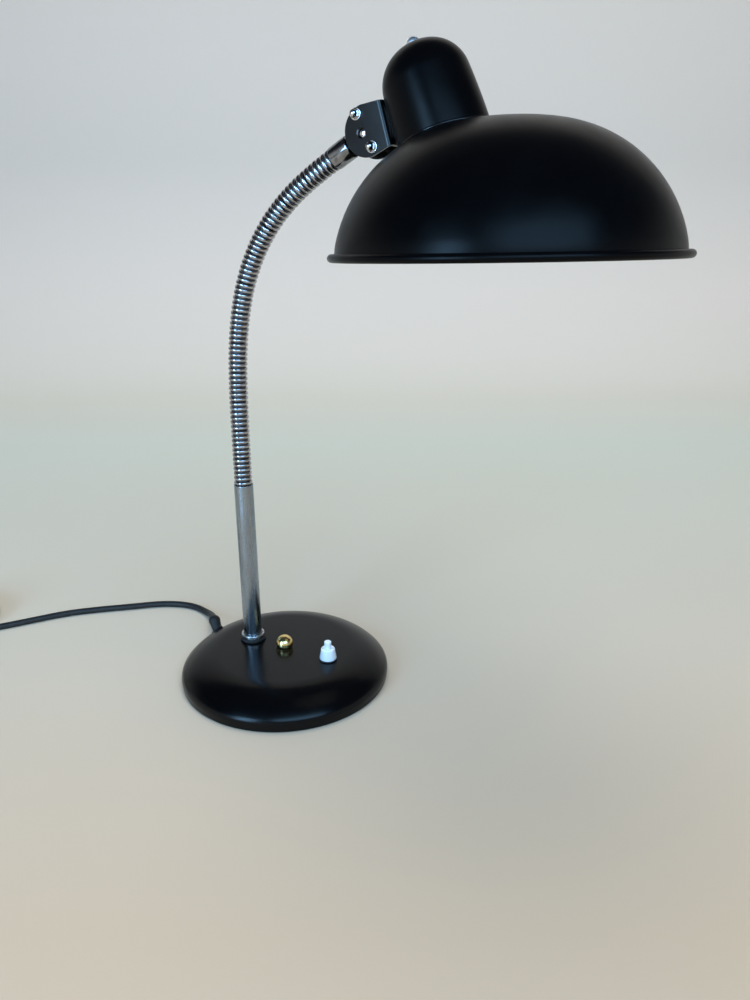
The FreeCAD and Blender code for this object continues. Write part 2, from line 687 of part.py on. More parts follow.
def acorn_nuts():
    face = cheek_inner() + CHEEK_THICK + CLAMP_WASHER_H
    nuts = []
    for side in (-1, 1):
        dome = Part.makeSphere(ACORN_DOME_R, Z * ACORN_NUT_H, Z, 0, 90, 360)
        blank = hexagon(ACORN_FLATS, ACORN_NUT_H).fuse(dome).cut(cylinder(BOLT_R, ACORN_NUT_H))
        nuts.append(aim(blank, bolt_place(side) - Y * face, -Y))
    return head(Part.makeCompound(nuts))


def dome_saddle():
    """Cast block between the bracket's flat back and the dome's round wall."""
    block = Part.makeBox(SADDLE_BITE, 2 * SADDLE_HALF_W, 2 * SADDLE_HALF_H,
                         Vec(CHEEK_DEPTH, -SADDLE_HALF_W, -SADDLE_HALF_H))
    block = on_bracket(block)
    pieces = block.cut([on_dome(dome_solid()), shade_solid(-LIP_H)]).Solids
    body = max(pieces, key=lambda solid: solid.Volume)
    return head(body.cut([rivet(side, RIVET_R) for side in (-1, 1)]))


def bracket_rivets():
    """Two rivets, each with a head against the fold's inside and one inside the dome."""
    axis = tilted(1, 0, BRACKET_RISE) - ball_local()
    skin = on_dome(dome_solid(DOME_WALL))
    rivets = []
    for side in (-1, 1):
        near = rivet_place(side) - axis * CHEEK_THICK
        head_in = cylinder(RIVET_HEAD_R, RIVET_HEAD_H, near, -axis)
        long_shank = rivet(side, RIVET_R)
        outside = max(long_shank.cut(skin).Solids, key=lambda solid: solid.CenterOfMass.x * -1)
        rivets.append(outside.fuse(head_in).removeSplitter())
    return head(Part.makeCompound(rivets))


def crown_screw():
    top = DOME_H
    round_head = Part.makeSphere(SCREW_HEAD_R * 1.3, Z * (top + SCREW_HEAD_H - SCREW_HEAD_R * 1.3))
    round_head = round_head.common(cylinder(SCREW_HEAD_R, 2 * SCREW_HEAD_H, Z * top))
    shank = cylinder(SCREW_R, top - HOLDER_NECK_Z, Z * HOLDER_NECK_Z)
    return head(on_dome(round_head.fuse(shank)))


def lampholder():
    """Screw-base holder: closed top, long body and a narrower skirt that takes the ring."""
    outline = [(0, SKIRT_BOTTOM_Z), (SKIRT_R, SKIRT_BOTTOM_Z), (SKIRT_R, CARRIER_Z + CARRIER_H),
               (HOLDER_R, CARRIER_Z + CARRIER_H), (HOLDER_R, HOLDER_SHOULDER_Z), (HOLDER_TOP_R, HOLDER_NECK_Z),
               (HOLDER_TOP_R, HOLDER_TOP_Z), (0, HOLDER_TOP_Z)]
    well = cylinder(LAMP_CAP_R + LOOSE, LAMP_CAP_TOP_Z - SKIRT_BOTTOM_Z, Z * SKIRT_BOTTOM_Z)
    tapping = cylinder(SCREW_R, HOLDER_TOP_Z - HOLDER_NECK_Z, Z * HOLDER_NECK_Z)
    return head(on_dome(turned(outline).cut([well, tapping])))


def carrier_plate():
    """Flat plate under the shade's opening, trimmed to the inside of the shade."""
    plate = on_dome(ring(CARRIER_R, SKIRT_R, CARRIER_H, Z * CARRIER_Z))
    return head(plate.common(shade_solid(SHADE_WALL)))


def shade_ring():
    return head(on_dome(ring(SHADE_RING_R, SKIRT_R, SHADE_RING_H, Z * (CARRIER_Z - SHADE_RING_H))))


def bulb_cap():
    low = SKIRT_BOTTOM_Z
    body = turned([(0, low), (LAMP_CAP_R, low), (LAMP_CAP_R, LAMP_CAP_TOP_Z - 6), (5, LAMP_CAP_TOP_Z - 1),
                   (0, LAMP_CAP_TOP_Z - 1)])
    return head(on_dome(body))


def bulb_solid(inset):
    """Round bulb: a sphere drawn up into a neck that meets the cap."""
    low, neck_z = BULB_CENTRE_Z, SKIRT_BOTTOM_Z
    angle = math.radians(BULB_SHOULDER)
    ball_r = BULB_R - inset
    touch = (ball_r * math.cos(angle), low + ball_r * math.sin(angle))
    middle = (ball_r * math.cos(angle / 2 - math.pi / 4), low + ball_r * math.sin(angle / 2 - math.pi / 4))
    neck = (LAMP_CAP_R - inset, neck_z)
    edges = [arc((0, low - ball_r), middle, touch), line(touch, neck),
             line(neck, (0, neck_z)), line((0, neck_z), (0, low - ball_r))]
    return turned_edges(edges)


def bulb_glass():
    return head(on_dome(bulb_solid(0).cut(bulb_solid(BULB_WALL))))


# ---- supply cord -----------------------------------------------------------------------------
def relief_tip():
    point, _ = outlet_frame()
    return point + polar(RELIEF_TURN, RELIEF_RISE) * RELIEF_LENGTH


def nozzle_axis():
    """The sleeve's outlet points at the cord's first turn."""
    return (CORD_ROUTE[0] - relief_tip()).normalize()


def strain_relief():
    """Rubber sleeve: flange on the cover, leaning body with a round tip, and the cord's outlet."""
    point, axis = outlet_frame()
    lean = polar(RELIEF_TURN, RELIEF_RISE)
    flange = cylinder(RELIEF_FLANGE_R, RELIEF_FLANGE_H, point, axis)
    body = Part.makeCone(RELIEF_FOOT_R, RELIEF_TIP_R, RELIEF_LENGTH, point, lean)
    tip = Part.makeSphere(RELIEF_TIP_R, relief_tip())
    nozzle = cylinder(NOZZLE_R, NOZZLE_LENGTH, relief_tip(), nozzle_axis())
    plug = cylinder(OUTLET_HOLE_R, COVER_WALL * 3, point - axis * COVER_WALL * 3, axis)
    sleeve = body.fuse([flange, tip, nozzle]).cut(turned_edges(cover_face(0)))
    return sleeve.fuse(plug).removeSplitter()


def cord_points():
    start = relief_tip() + nozzle_axis() * NOZZLE_LENGTH
    return [start] + CORD_ROUTE


def cord_path(points):
    """Straight runs joined by tangent arcs, each as large as its two runs allow."""
    edges, radii, here = [], [], points[0]
    for before, corner, after in zip(points, points[1:], points[2:]):
        into, out = (corner - before), (after - corner)
        shorter = min(into.Length, out.Length)
        into.normalize()
        out.normalize()
        turn = into.getAngle(out)
        radius = 0.45 * shorter / math.tan(turn / 2)
        start, end = corner - into * 0.45 * shorter, corner + out * 0.45 * shorter
        towards = (out - into).normalize()
        middle = corner + towards * (radius / math.cos(turn / 2) - radius)
        edges.append(Part.LineSegment(here, start).toShape())
        edges.append(Part.Arc(start, middle, end).toShape())
        radii.append(round(radius, 1))
        here = end
    edges.append(Part.LineSegment(here, points[-1]).toShape())
    return Part.Wire(edges), radii


def coil_centre():
    return Vec(COIL_CENTRE_X, COIL_CENTRE_Y, COIL_BUNDLE_R + TIE_WALL)


def cord_coil():
    return Part.makeTorus(COIL_R, COIL_BUNDLE_R, coil_centre())


def supply_cord():
    points = cord_points()
    path, radii = cord_path(points)
    start_dir = points[1] - points[0]
    section = Part.Wire(Part.makeCircle(CORD_R, points[0], start_dir))
    tube = path.makePipeShell([section], True, False)
    print("cord radii", radii, "volume ratio", round(tube.Volume / (math.pi * CORD_R ** 2 * path.Length), 4))
    return tube.cut(cord_coil())


def cord_tie():
    place = coil_centre() + polar(TIE_TURN) * COIL_R
    along = polar(TIE_TURN + 90)
    return ring(COIL_BUNDLE_R + TIE_WALL, COIL_BUNDLE_R, TIE_W, place - along * TIE_W / 2, along).cut(cord_coil())


def tail_start():
    """The tail leaves the coil's outer turn low down, along its tangent."""
    out = coil_centre() + polar(TAIL_TURN) * (COIL_R + TAIL_OUT)
    return Vec(out.x, out.y, PLUG_H / 2)


def tail_dir():
    return polar(TAIL_TURN - 90)


def cord_tail():
    return cylinder(CORD_R, TAIL_LENGTH, tail_start(), tail_dir()).cut(cord_coil())


def plug_place(shape):
    """Lay a shape made along X at the tail's end."""
    out = shape.copy()
    out.rotate(ORIGIN, Z, TAIL_TURN - 90)
    out.translate(tail_start() + tail_dir() * TAIL_LENGTH)
    return out


def plug_body():
    body = Part.makeBox(PLUG_LENGTH, PLUG_W, PLUG_H, Vec(0, -PLUG_W / 2, -PLUG_H / 2))
    upright = [e for e in body.Edges if abs(e.Vertexes[0].Z - e.Vertexes[1].Z) > PLUG_H / 2]
    return plug_place(body.makeFillet(PLUG_ROUND, upright))


def plug_pins():
    pins = [cylinder(PIN_R, PIN_LENGTH, Vec(PLUG_LENGTH, side * PIN_SPACING / 2, 0), X) for side in (-1, 1)]
    return plug_place(Part.makeCompound(pins))


NODES = [
    base_cover, base_weight, bottom_plate, base_pad, centre_stud, weight_nut, ball_nut,
    stem_tube, stem_collar, stem_washer, stem_nipple, stem_lock_nut,
    switch_washer, switch_housing, switch_button, button_spring, switch_body, switch_nut,
    neck_ferrule, ball_stud, joint_bracket, clamp_bolts, clamp_washers, acorn_nuts,
    dome_saddle, bracket_rivets, dome_cap, crown_screw, lampholder, carrier_plate, shade_ring,
    shade, bulb_cap, bulb_glass,
    strain_relief, supply_cord, cord_coil, cord_tie, cord_tail, plug_body, plug_pins,
]

for node in NODES:
    save(node.__name__, node())
for number in range(LINKS):
    save("neck_link_%02d" % (number + 1), neck_link(number))
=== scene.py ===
"""Gooseneck desk lamp, dressed for its portrait.

Metres, +Z up.  The origin is the centre of the base's underside; +X runs from the stem past the
ball nut to the switch, the way the neck leans.
"""
import math
import bmesh
import bpy
from mathutils import Matrix, Vector


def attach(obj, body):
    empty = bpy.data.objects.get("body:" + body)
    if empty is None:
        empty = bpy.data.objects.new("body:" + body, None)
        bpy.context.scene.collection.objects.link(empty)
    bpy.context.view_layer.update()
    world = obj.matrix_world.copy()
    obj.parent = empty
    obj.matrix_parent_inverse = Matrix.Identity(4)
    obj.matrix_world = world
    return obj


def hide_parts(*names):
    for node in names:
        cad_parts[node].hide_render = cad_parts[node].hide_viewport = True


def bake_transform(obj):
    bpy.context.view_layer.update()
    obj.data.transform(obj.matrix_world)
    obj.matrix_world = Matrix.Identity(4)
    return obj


MM = 0.001
X, Y, Z = Vector((1, 0, 0)), Vector((0, 1, 0)), Vector((0, 0, 1))

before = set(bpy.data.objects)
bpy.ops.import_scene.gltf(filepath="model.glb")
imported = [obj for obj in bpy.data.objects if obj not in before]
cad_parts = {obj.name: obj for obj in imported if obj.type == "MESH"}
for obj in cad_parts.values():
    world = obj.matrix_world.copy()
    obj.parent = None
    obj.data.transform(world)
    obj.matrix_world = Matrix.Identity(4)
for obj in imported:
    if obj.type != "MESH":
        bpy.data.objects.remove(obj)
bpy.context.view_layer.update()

# ---- sizes, in millimetres -------------------------------------------------------------------
RUNNING = 0.06          # play of what turns or slides
BASE_R, CROWN_Z, CROWN_R, EDGE_R, EDGE_Z, COVER_FOOT_Z, COVER_WALL = 96.0, 27.5, 60.0, 9.0, 6.5, 1.0, 1.2
STEM_X, STEM_R, STEM_WALL, STEM_TOP_Z = -36.0, 8.5, 1.2, 183.0
COLLAR_R, COLLAR_H, FOOT_WASHER_R, FOOT_WASHER_H = 10.75, 4.0, 11.75, 2.5
NUT_BALL_R, NUT_FOOT_R, NUT_FOOT_H = 8.0, 7.2, 0.3
SWITCH_X, SWITCH_WASHER_R, SWITCH_WASHER_H = 47.5, 8.0, 1.2
SWITCH_FOOT_R, SWITCH_TOP_R, SWITCH_H = 7.6, 6.1, 10.2
BUTTON_R, BUTTON_STAND = 3.2, 6.8
BUTTON_FLANGE_R, BUTTON_FLANGE_H, BUTTON_GUIDE, FLANGE_ROOM = 3.9, 2.0, 9.5, 0.5
SPRING_FOOT_Z, SPRING_WIRE_R, SPRING_TURNS, SPRING_GAP = 18.0, 0.35, 7, 0.04
STUD_R, NIPPLE_R, SWITCH_THREAD_R, HOLE_PLAY = 3.0, 5.0, 5.0, 0.2
OUTLET_HOLE_R, WASHER_HOLE_R = 4.6, 5.2
LINKS, LINK_LENGTH, RIBS_PER_LINK, LINK_GAP = 12, 25.4, 6, 1.2
HEADINGS = (0, 0.5, 0.5, 1.5, 3.5, 7.5, 13, 21, 30.5, 40, 49.5, 57, 60)
RIB_R, RIB_CORE_R, RIB_HALF_W = 8.1, 6.5, 1.5
LINK_BALL_R, LINK_BALL_TOP, SOCKET_DEPTH = 5.2, 42, 4.3       # the ball is cut flat at 42 degrees up
FERRULE_R, FERRULE_H, BALL_REACH, BALL_R, BALL_STEM_R = 8.5, 16.5, 31.5, 7.5, 4.0
BALL_TO_AXIS, BALL_TO_RIM, HEAD_TILT, HEAD_TURN = 106.5, 83.4, -2.3, -3.5
SHADE_R, SHADE_H, SHADE_WALL, SHADE_CROWN_R, SHADE_TURNS = 115.5, 85.3, 0.9, 231.0, (8.6, 75.7)
BEAD_R, BEAD_OUT = 2.8, 2.0
DOME_R, DOME_H = 31.8, 62.9
DOME_BACK, DOME_UP, DOME_LEAN, OPENING_R = 46.0, 76.7, -21.8, 25.0
LIP_W, BEAD_SECTION_R, CROWN_NUT_R = 2.6, 1.0, 5.1
BOLT_RISE, BOLT_SPAN, BOLT_AHEAD = 29.7, 25.3, 2.8
CHEEK_HOLE_R, CHEEK_THICK = 3.55, 2.0
BOLT_R, BOLT_HEAD_R, BOLT_HEAD_H = 2.0, 3.6, 2.4
CLAMP_WASHER_R, CLAMP_WASHER_H = 4.2, 0.9
ACORN_FLATS, ACORN_NUT_H, ACORN_DOME_R = 6.2, 2.6, 2.9
CORD_R = 3.25
OUTLET_TURN, OUTLET_RISE, RELIEF_TURN, RELIEF_RISE = 170.0, 35.0, 145.0, 38.0
RELIEF_LENGTH, NOZZLE_LENGTH = 12.0, 10.0
CORD_ROUTE = (          # metres: down to the table, then away along it to the coil
    (-0.123, 0.046, 0.008), (-0.138, 0.055, 0.00325), (-0.157, 0.060, 0.00325), (-0.178, 0.057, 0.00325),
    (-0.199, 0.046, 0.00325), (-0.221, 0.027, 0.00325), (-0.246, 0.007, 0.00325), (-0.272, -0.017, 0.00325),
    (-0.293, -0.047, 0.00325), (-0.314, -0.076, 0.00325), (-0.337, -0.103, 0.0042))
COIL_CENTRE, COIL_R, COIL_TURNS = Vector((-0.370, -0.0815, 0.01155)), 0.0355, 6.151
COIL_START, COIL_SLOT_R, COIL_SLOTS, COIL_FIRST_SLOT = -35.7, 0.0075, 7, -80.7
TAIL_LENGTH, TIE_SHIFT = 0.039, Vector((-0.003, 0, 0))        # the tie goes with the coil
PLUG_LENGTH, PLUG_W, PLUG_H = 36.0, 26.0, 14.0


# ---- places ----------------------------------------------------------------------------------
def turn(axis, degrees):
    return Matrix.Rotation(math.radians(degrees), 4, Vector(axis))


def shift(x, y, z):
    return Matrix.Translation((x, y, z))


def heading_vector(degrees):
    a = math.radians(degrees)
    return Vector((math.sin(a), 0, math.cos(a)))


def along_link(index, run):
    """From a link's start to the point run further along its arc."""
    start, end = math.radians(HEADINGS[index]), math.radians(HEADINGS[index + 1])
    bend = (end - start) * run / LINK_LENGTH
    chord = run if abs(bend) < 1e-9 else run * math.sin(bend / 2) / (bend / 2)
    return heading_vector(math.degrees(start + bend / 2)) * chord


def neck_point(index, run):
    place = Vector((STEM_X, 0, STEM_TOP_Z))
    for k in range(index):
        place += along_link(k, LINK_LENGTH)
    return place + along_link(index, run)


def neck_place(index, run):
    """Matrix that stands a piece on the neck's centre line, its Z along the line."""
    heading = HEADINGS[index] + (HEADINGS[index + 1] - HEADINGS[index]) * run / LINK_LENGTH
    return Matrix.Translation(neck_point(index, run)) @ turn(Y, heading)


def polar(heading, rise=0.0):
    """A unit vector this far round from +X and this far up."""
    a, b = math.radians(heading), math.radians(rise)
    return Vector((math.cos(a) * math.cos(b), math.sin(a) * math.cos(b), math.sin(b)))


def outlet_point():
    """Where the cord's hole meets the cover's rounded edge."""
    return polar(OUTLET_TURN) * (BASE_R - EDGE_R) + Z * EDGE_Z + polar(OUTLET_TURN, OUTLET_RISE) * EDGE_R


NECK_END = neck_place(LINKS - 1, LINK_LENGTH)
JOINT = NECK_END @ Vector((0, 0, BALL_REACH))
NECK_AXIS = heading_vector(HEADINGS[-1])
HEAD = (Matrix.Translation(JOINT) @ turn(NECK_AXIS, HEAD_TURN) @ turn(Y, HEAD_TILT)
        @ shift(BALL_TO_AXIS, 0, -BALL_TO_RIM))
DOME = HEAD @ shift(-DOME_BACK, 0, DOME_UP) @ turn(Y, DOME_LEAN)


# ---- outlines: lists of (radius, height) points ----------------------------------------------
def arc(centre, radius, begin, end, steps):
    """Points round a centre; angles in degrees, 0 outward and 90 up."""
    points = []
    for k in range(steps + 1):
        a = math.radians(begin + (end - begin) * k / steps)
        points.append((centre[0] + radius * math.cos(a), centre[1] + radius * math.sin(a)))
    return points


def band(inner, outer, low, high):
    """A plain ring's section, or a disc's when the inner radius is 0."""
    return [(inner, low), (outer, low), (outer, high), (inner, high)]


def bell(radius, height, crown_r, turns, inset, steps=(6, 28, 12)):
    """Three tangent arcs from the crown down to the rim."""
    sin1, cos1 = math.sin(math.radians(turns[0])), math.cos(math.radians(turns[0]))
    sin2, cos2 = math.sin(math.radians(turns[1])), math.cos(math.radians(turns[1]))
    across, down = radius - crown_r * sin1, height - crown_r * (1 - cos1)
    scale = (sin2 - sin1) * cos2 - (1 - sin2) * (cos1 - cos2)
    middle_r = (across * cos2 - down * (1 - sin2)) / scale
    side_r = (down * (sin2 - sin1) - across * (cos1 - cos2)) / scale
    crown = (0, height - crown_r)
    middle = ((crown_r - middle_r) * sin1, crown[1] + (crown_r - middle_r) * cos1)
    side = (radius - side_r, 0)
    points = arc(crown, crown_r - inset, 90, 90 - turns[0], steps[0])
    points += arc(middle, middle_r - inset, 90 - turns[0], 90 - turns[1], steps[1])[1:]
    points += arc(side, side_r - inset, 90 - turns[1], 0, steps[2])[1:]
    points[0] = (0, points[0][1])
    return points


def soften(points, radius, steps=3, closed=False):
    """Round every corner of an outline by up to this radius."""
    out, n = [], len(points)
    for k, corner in enumerate(points):
        if not closed and k in (0, n - 1):
            out.append(corner)
            continue
        here, before, after = Vector(corner), Vector(points[k - 1]), Vector(points[(k + 1) % n])
        back, on = before - here, after - here
        angle = back.angle(on)
        if angle > math.radians(160):
            out.append(corner)
            continue
        reach = min(radius / math.tan(angle / 2), back.length * 0.45, on.length * 0.45)
        start, end = here + back.normalized() * reach, here + on.normalized() * reach
        for s in range(steps + 1):
            t = s / steps
            place = start.lerp(here, t).lerp(here.lerp(end, t), t)
            out.append((place.x, place.y))
    return out


# ---- meshes ----------------------------------------------------------------------------------
def add_mesh(name, verts, faces, material, sharp=35):
    """A piece at the origin, its points in millimetres, smooth but for edges sharper than this."""
    mesh = bpy.data.meshes.new(name)
    mesh.from_pydata([Vector(v) * MM for v in verts], [], faces)
    return finish_mesh(name, mesh, material, sharp)


def placed(name, data):
    """A new object in the scene, at the origin."""
    obj = bpy.data.objects.new(name, data)
    bpy.context.scene.collection.objects.link(obj)
    return obj


def finish_mesh(name, mesh, material, sharp=35):
    work = bmesh.new()
    work.from_mesh(mesh)
    bmesh.ops.remove_doubles(work, verts=work.verts, dist=1e-7)
    bmesh.ops.recalc_face_normals(work, faces=work.faces)
    work.to_mesh(mesh)
    work.free()
    mesh.shade_smooth()
    mesh.set_sharp_from_angle(angle=math.radians(sharp))
    mesh.materials.clear()
    mesh.materials.append(material)
    return placed(name, mesh)


def tube_along(line, radius, sides, closed=False):
    """Points and faces of a round tube along a line, its two ends joined or capped."""
    verts, faces, count = [], [], len(line)
    for k, p in enumerate(line):
        before, after = (k - 1, (k + 1) % count) if closed else (max(k - 1, 0), min(k + 1, count - 1))
        along = (line[after] - line[before]).normalized()
        out = along.cross(Z).normalized()
        up = out.cross(along)
        for j in range(sides):
            b = 2 * math.pi * j / sides
            verts.append(p + (out * math.cos(b) + up * math.sin(b)) * radius)
            n, m = (k + 1) % count, (j + 1) % sides
            if closed or k + 1 < count:
                faces.append((k * sides + j, k * sides + m, n * sides + m, n * sides + j))
    if not closed:
        faces += [tuple(range(sides)), tuple(range(len(verts) - 1, len(verts) - 1 - sides, -1))]
    return verts, faces


def ring(place, r, z, around):
    """Points of a ring about Z at this height, or its one point on the axis."""
    if r < 1e-9:
        return [place @ Vector((0, 0, z))]
    turns = [2 * math.pi * k / around for k in range(around)]
    return [place @ Vector((r * math.cos(a), r * math.sin(a), z)) for a in turns]


def skin(name, rings, around, material, sharp=35, joined=False):
    """A closed piece from rings of points, each joined to the next and perhaps the last to the first."""
    verts, rows, faces = [], [], []
    for points in rings:
        first = len(verts)
        rows.append([first] * around if len(points) == 1 else list(range(first, first + around)))
        verts += points
    for low, high in list(zip(rows, rows[1:])) + ([(rows[-1], rows[0])] if joined else []):
        for k in range(around):
            j = (k + 1) % around
            corners = [low[k], low[j], high[j], high[k]]
            face = [c for i, c in enumerate(corners) if c not in corners[:i]]
            if len(face) > 2:
                faces.append(face)
    return add_mesh(name, verts, faces, material, sharp)


def lathe(name, outline, place, material, around=96, sharp=35):
    """Closed solid of revolution from an outline that starts and ends on the axis, or closes on itself."""
    rings = [ring(place, r, z, around) for r, z in outline]
    return skin(name, rings, around, material, sharp, joined=abs(outline[0][0]) >= 1e-9)


def show(obj, body, *nodes):
    """The piece rides on a body and stands for these nodes."""
    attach(obj, body)
    if nodes:
        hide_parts(*nodes)
    return obj


def polished_copy(node, material, sharp=30, bevel=0.0):
    """A CAD node with its loose triangles joined, smooth faces and, if asked, softened edges."""
    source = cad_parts[node]
    mesh = source.data.copy()
    work = bmesh.new()
    work.from_mesh(mesh)
    bmesh.ops.remove_doubles(work, verts=work.verts, dist=2e-6)
    if bevel:
        bmesh.ops.dissolve_limit(work, angle_limit=math.radians(1.5), verts=work.verts, edges=work.edges)
    work.to_mesh(mesh)
    work.free()
    mesh.shade_smooth()
    mesh.set_sharp_from_angle(angle=math.radians(sharp))
    mesh.materials.clear()
    mesh.materials.append(material)
    obj = placed(node + "_finished", mesh)
    if bevel:
        edge = obj.modifiers.new("edges", "BEVEL")
        edge.width, edge.segments, edge.angle_limit = bevel * MM, 2, math.radians(sharp)
        edge.harden_normals = True
        obj = made_real(obj)
    return obj


def made_real(obj):
    """The object with its modifiers carried out, as a plain mesh."""
    bpy.context.view_layer.update()
    evaluated = obj.evaluated_get(bpy.context.evaluated_depsgraph_get())
    mesh = bpy.data.meshes.new_from_object(evaluated)
    obj.modifiers.clear()
    out = placed(obj.name.split(".")[0], mesh)
    old = obj.name
    bpy.data.objects.remove(obj)
    out.name = old
    return out


# ---- materials -------------------------------------------------------------------------------
def new_material(name, color, roughness, metallic=0.0, **sockets):
    mat = bpy.data.materials.new(name)
    mat.use_nodes = True
    shader = mat.node_tree.nodes["Principled BSDF"]
    shader.inputs["Base Color"].default_value = (*color, 1)
    shader.inputs["Roughness"].default_value = roughness
    shader.inputs["Metallic"].default_value = metallic
    for key, value in sockets.items():
        shader.inputs[key.replace("_", " ")].default_value = value
    return mat


def add_noise(mat, scale, detail=3.0, stretch=(1, 1, 1)):
    """A noise texture on object coordinates; scale is features per metre."""
    nodes, links = mat.node_tree.nodes, mat.node_tree.links
    coords = nodes.new("ShaderNodeTexCoord")
    mapping = nodes.new("ShaderNodeMapping")
    noise = nodes.new("ShaderNodeTexNoise")
    mapping.inputs["Scale"].default_value = stretch
    noise.inputs["Scale"].default_value = scale
    noise.inputs["Detail"].default_value = detail
    links.new(coords.outputs["Object"], mapping.inputs["Vector"])
    links.new(mapping.outputs["Vector"], noise.inputs["Vector"])
    return noise.outputs["Fac"]


def vary(mat, socket, factor, low, high, low_at=0.3, high_at=0.7):
    """Drive a number of the shader between two values by a factor."""
    nodes, links = mat.node_tree.nodes, mat.node_tree.links
    span = nodes.new("ShaderNodeMapRange")
    span.inputs["From Min"].default_value = low_at
    span.inputs["From Max"].default_value = high_at
    span.inputs["To Min"].default_value = low
    span.inputs["To Max"].default_value = high
    links.new(factor, span.inputs["Value"])
    links.new(span.outputs["Result"], nodes["Principled BSDF"].inputs[socket])


def tint(mat, factor, dark, light, dark_at=0.35, light_at=0.65):
    """Drive the base colour between two colours by a factor."""
    nodes, links = mat.node_tree.nodes, mat.node_tree.links
    ramp = nodes.new("ShaderNodeValToRGB")
    ramp.color_ramp.elements[0].position = dark_at
    ramp.color_ramp.elements[1].position = light_at
    ramp.color_ramp.elements[0].color = (*dark, 1)
    ramp.color_ramp.elements[1].color = (*light, 1)
    links.new(factor, ramp.inputs["Fac"])
    links.new(ramp.outputs["Color"], nodes["Principled BSDF"].inputs["Base Color"])


def bump(mat, factor, strength, depth_mm):
    nodes, links = mat.node_tree.nodes, mat.node_tree.links
    relief = nodes.new("ShaderNodeBump")
    relief.inputs["Strength"].default_value = strength
    relief.inputs["Distance"].default_value = depth_mm * MM
    links.new(factor, relief.inputs["Height"])
    links.new(relief.outputs["Normal"], nodes["Principled BSDF"].inputs["Normal"])


def satin_black(name, rough, shine):
    """Black enamel; shine is how strongly it mirrors, with 0.5 for plain gloss paint."""
    mat = new_material(name, (0.001, 0.001, 0.0015), rough, Specular_IOR_Level=shine)
    tint(mat, add_noise(mat, 14, 4), (0.0007, 0.0008, 0.0011), (0.0014, 0.0015, 0.0019))
    vary(mat, "Roughness", add_noise(mat, 60, 4), rough * 0.9, rough * 1.1)
    bump(mat, add_noise(mat, 900, 2), 0.25, 0.02)
    return mat


def white_enamel():
    mat = new_material("white_enamel_inside", (0.80, 0.79, 0.75), 0.35)
    tint(mat, add_noise(mat, 20, 4), (0.77, 0.76, 0.71), (0.83, 0.82, 0.79))
    bump(mat, add_noise(mat, 800, 2), 0.2, 0.02)
    return mat


def plated(name, dark, light, rough, scale=120, stretch=(1, 1, 1), relief=0.0):
    """Plated metal with a little wear in its colour and polish."""
    mat = new_material(name, light, rough, 1.0)
    tint(mat, add_noise(mat, scale, 5, stretch), dark, light, 0.3, 0.55)
    vary(mat, "Roughness", add_noise(mat, scale * 3, 4, stretch), rough * 0.8, rough * 1.5)
    if relief:
        bump(mat, add_noise(mat, scale * 4, 3, stretch), 0.3, relief)
    return mat


def plastic(name, dark, light, rough, scale=50, relief=0.01):
    mat = new_material(name, light, rough)
    tint(mat, add_noise(mat, scale, 3), dark, light)
    vary(mat, "Roughness", add_noise(mat, scale * 4, 3), rough * 0.85, rough * 1.2)
    bump(mat, add_noise(mat, scale * 16, 2), 0.25, relief)
    return mat


BLACK = satin_black("satin_black_enamel", 0.31, 0.08)
BASE_BLACK = satin_black("base_enamel", 0.23, 0.19)
BRACKET_BLACK = satin_black("bracket_enamel", 0.24, 0.36)
WHITE_INSIDE = white_enamel()
# The stem's chrome is darkened and tinted blue-grey, a painted reflection of blue light; the streaks along it
# stand for brushing.
TUBE_CHROME_PAINTED_REFLECTION = plated("tube_chrome", (0.21, 0.25, 0.29), (0.33, 0.38, 0.43), 0.24, 90, (1, 1, 0.12), 0.01)
NECK_NICKEL = plated("neck_nickel", (0.30, 0.29, 0.31), (0.50, 0.50, 0.52), 0.17, 260)
# Near-black metal for what shows between the neck's ribs: painted shade in its grooves.
GROOVE_SHADE = plated("tarnished_groove", (0.03, 0.03, 0.035), (0.09, 0.09, 0.10), 0.45, 300)
# The ferrule's chrome is darkened to paint in the dark reflections it shows: painted reflection.
FERRULE_PAINTED_REFLECTION = plated("dark_chrome", (0.16, 0.16, 0.17), (0.30, 0.30, 0.32), 0.1, 200)
COLLAR = plated("grey_nickel", (0.42, 0.43, 0.45), (0.60, 0.61, 0.63), 0.28, 200)
CROWN_NICKEL = plated("satin_nickel", (0.70, 0.70, 0.71), (0.92, 0.92, 0.93), 0.38, 300)
CHROME = plated("bright_chrome", (0.55, 0.55, 0.57), (0.70, 0.70, 0.72), 0.10, 150)
SCREW = plated("bright_nickel_screws", (0.52, 0.51, 0.52), (0.72, 0.71, 0.71), 0.13, 300)
BRASS = plated("polished_brass", (0.60, 0.43, 0.15), (0.92, 0.71, 0.31), 0.2, 220)
STEEL = plated("zinc_plate", (0.30, 0.30, 0.32), (0.48, 0.48, 0.50), 0.4, 60)
IRON = plastic("cast_iron", (0.035, 0.035, 0.036), (0.06, 0.06, 0.062), 0.75, 90, 0.15)
SWITCH_WHITE = plastic("cool_white_plastic", (0.74, 0.83, 0.92), (0.80, 0.88, 0.96), 0.28, 40, 0.005)
BLACK_FIBRE = plastic("black_fibre", (0.006, 0.006, 0.006), (0.014, 0.014, 0.014), 0.6, 300, 0.03)
BAKELITE = plastic("black_bakelite", (0.012, 0.010, 0.009), (0.022, 0.019, 0.017), 0.3, 80)
RUBBER = plastic("black_rubber", (0.005, 0.005, 0.005), (0.011, 0.011, 0.012), 0.55, 200, 0.03)
FELT = plastic("dark_felt", (0.012, 0.016, 0.013), (0.03, 0.036, 0.03), 0.95, 500, 0.3)
OPAL = plastic("opal_glass", (0.86, 0.85, 0.82), (0.92, 0.91, 0.88), 0.12, 30, 0.002)
CAP_METAL = plated("bulb_cap_metal", (0.55, 0.55, 0.55), (0.75, 0.75, 0.76), 0.3, 200)
# Near-black for the switch's notches: painted shade inside them.
NOTCH_SHADE = new_material("dark_notch", (0.02, 0.022, 0.026), 0.7)


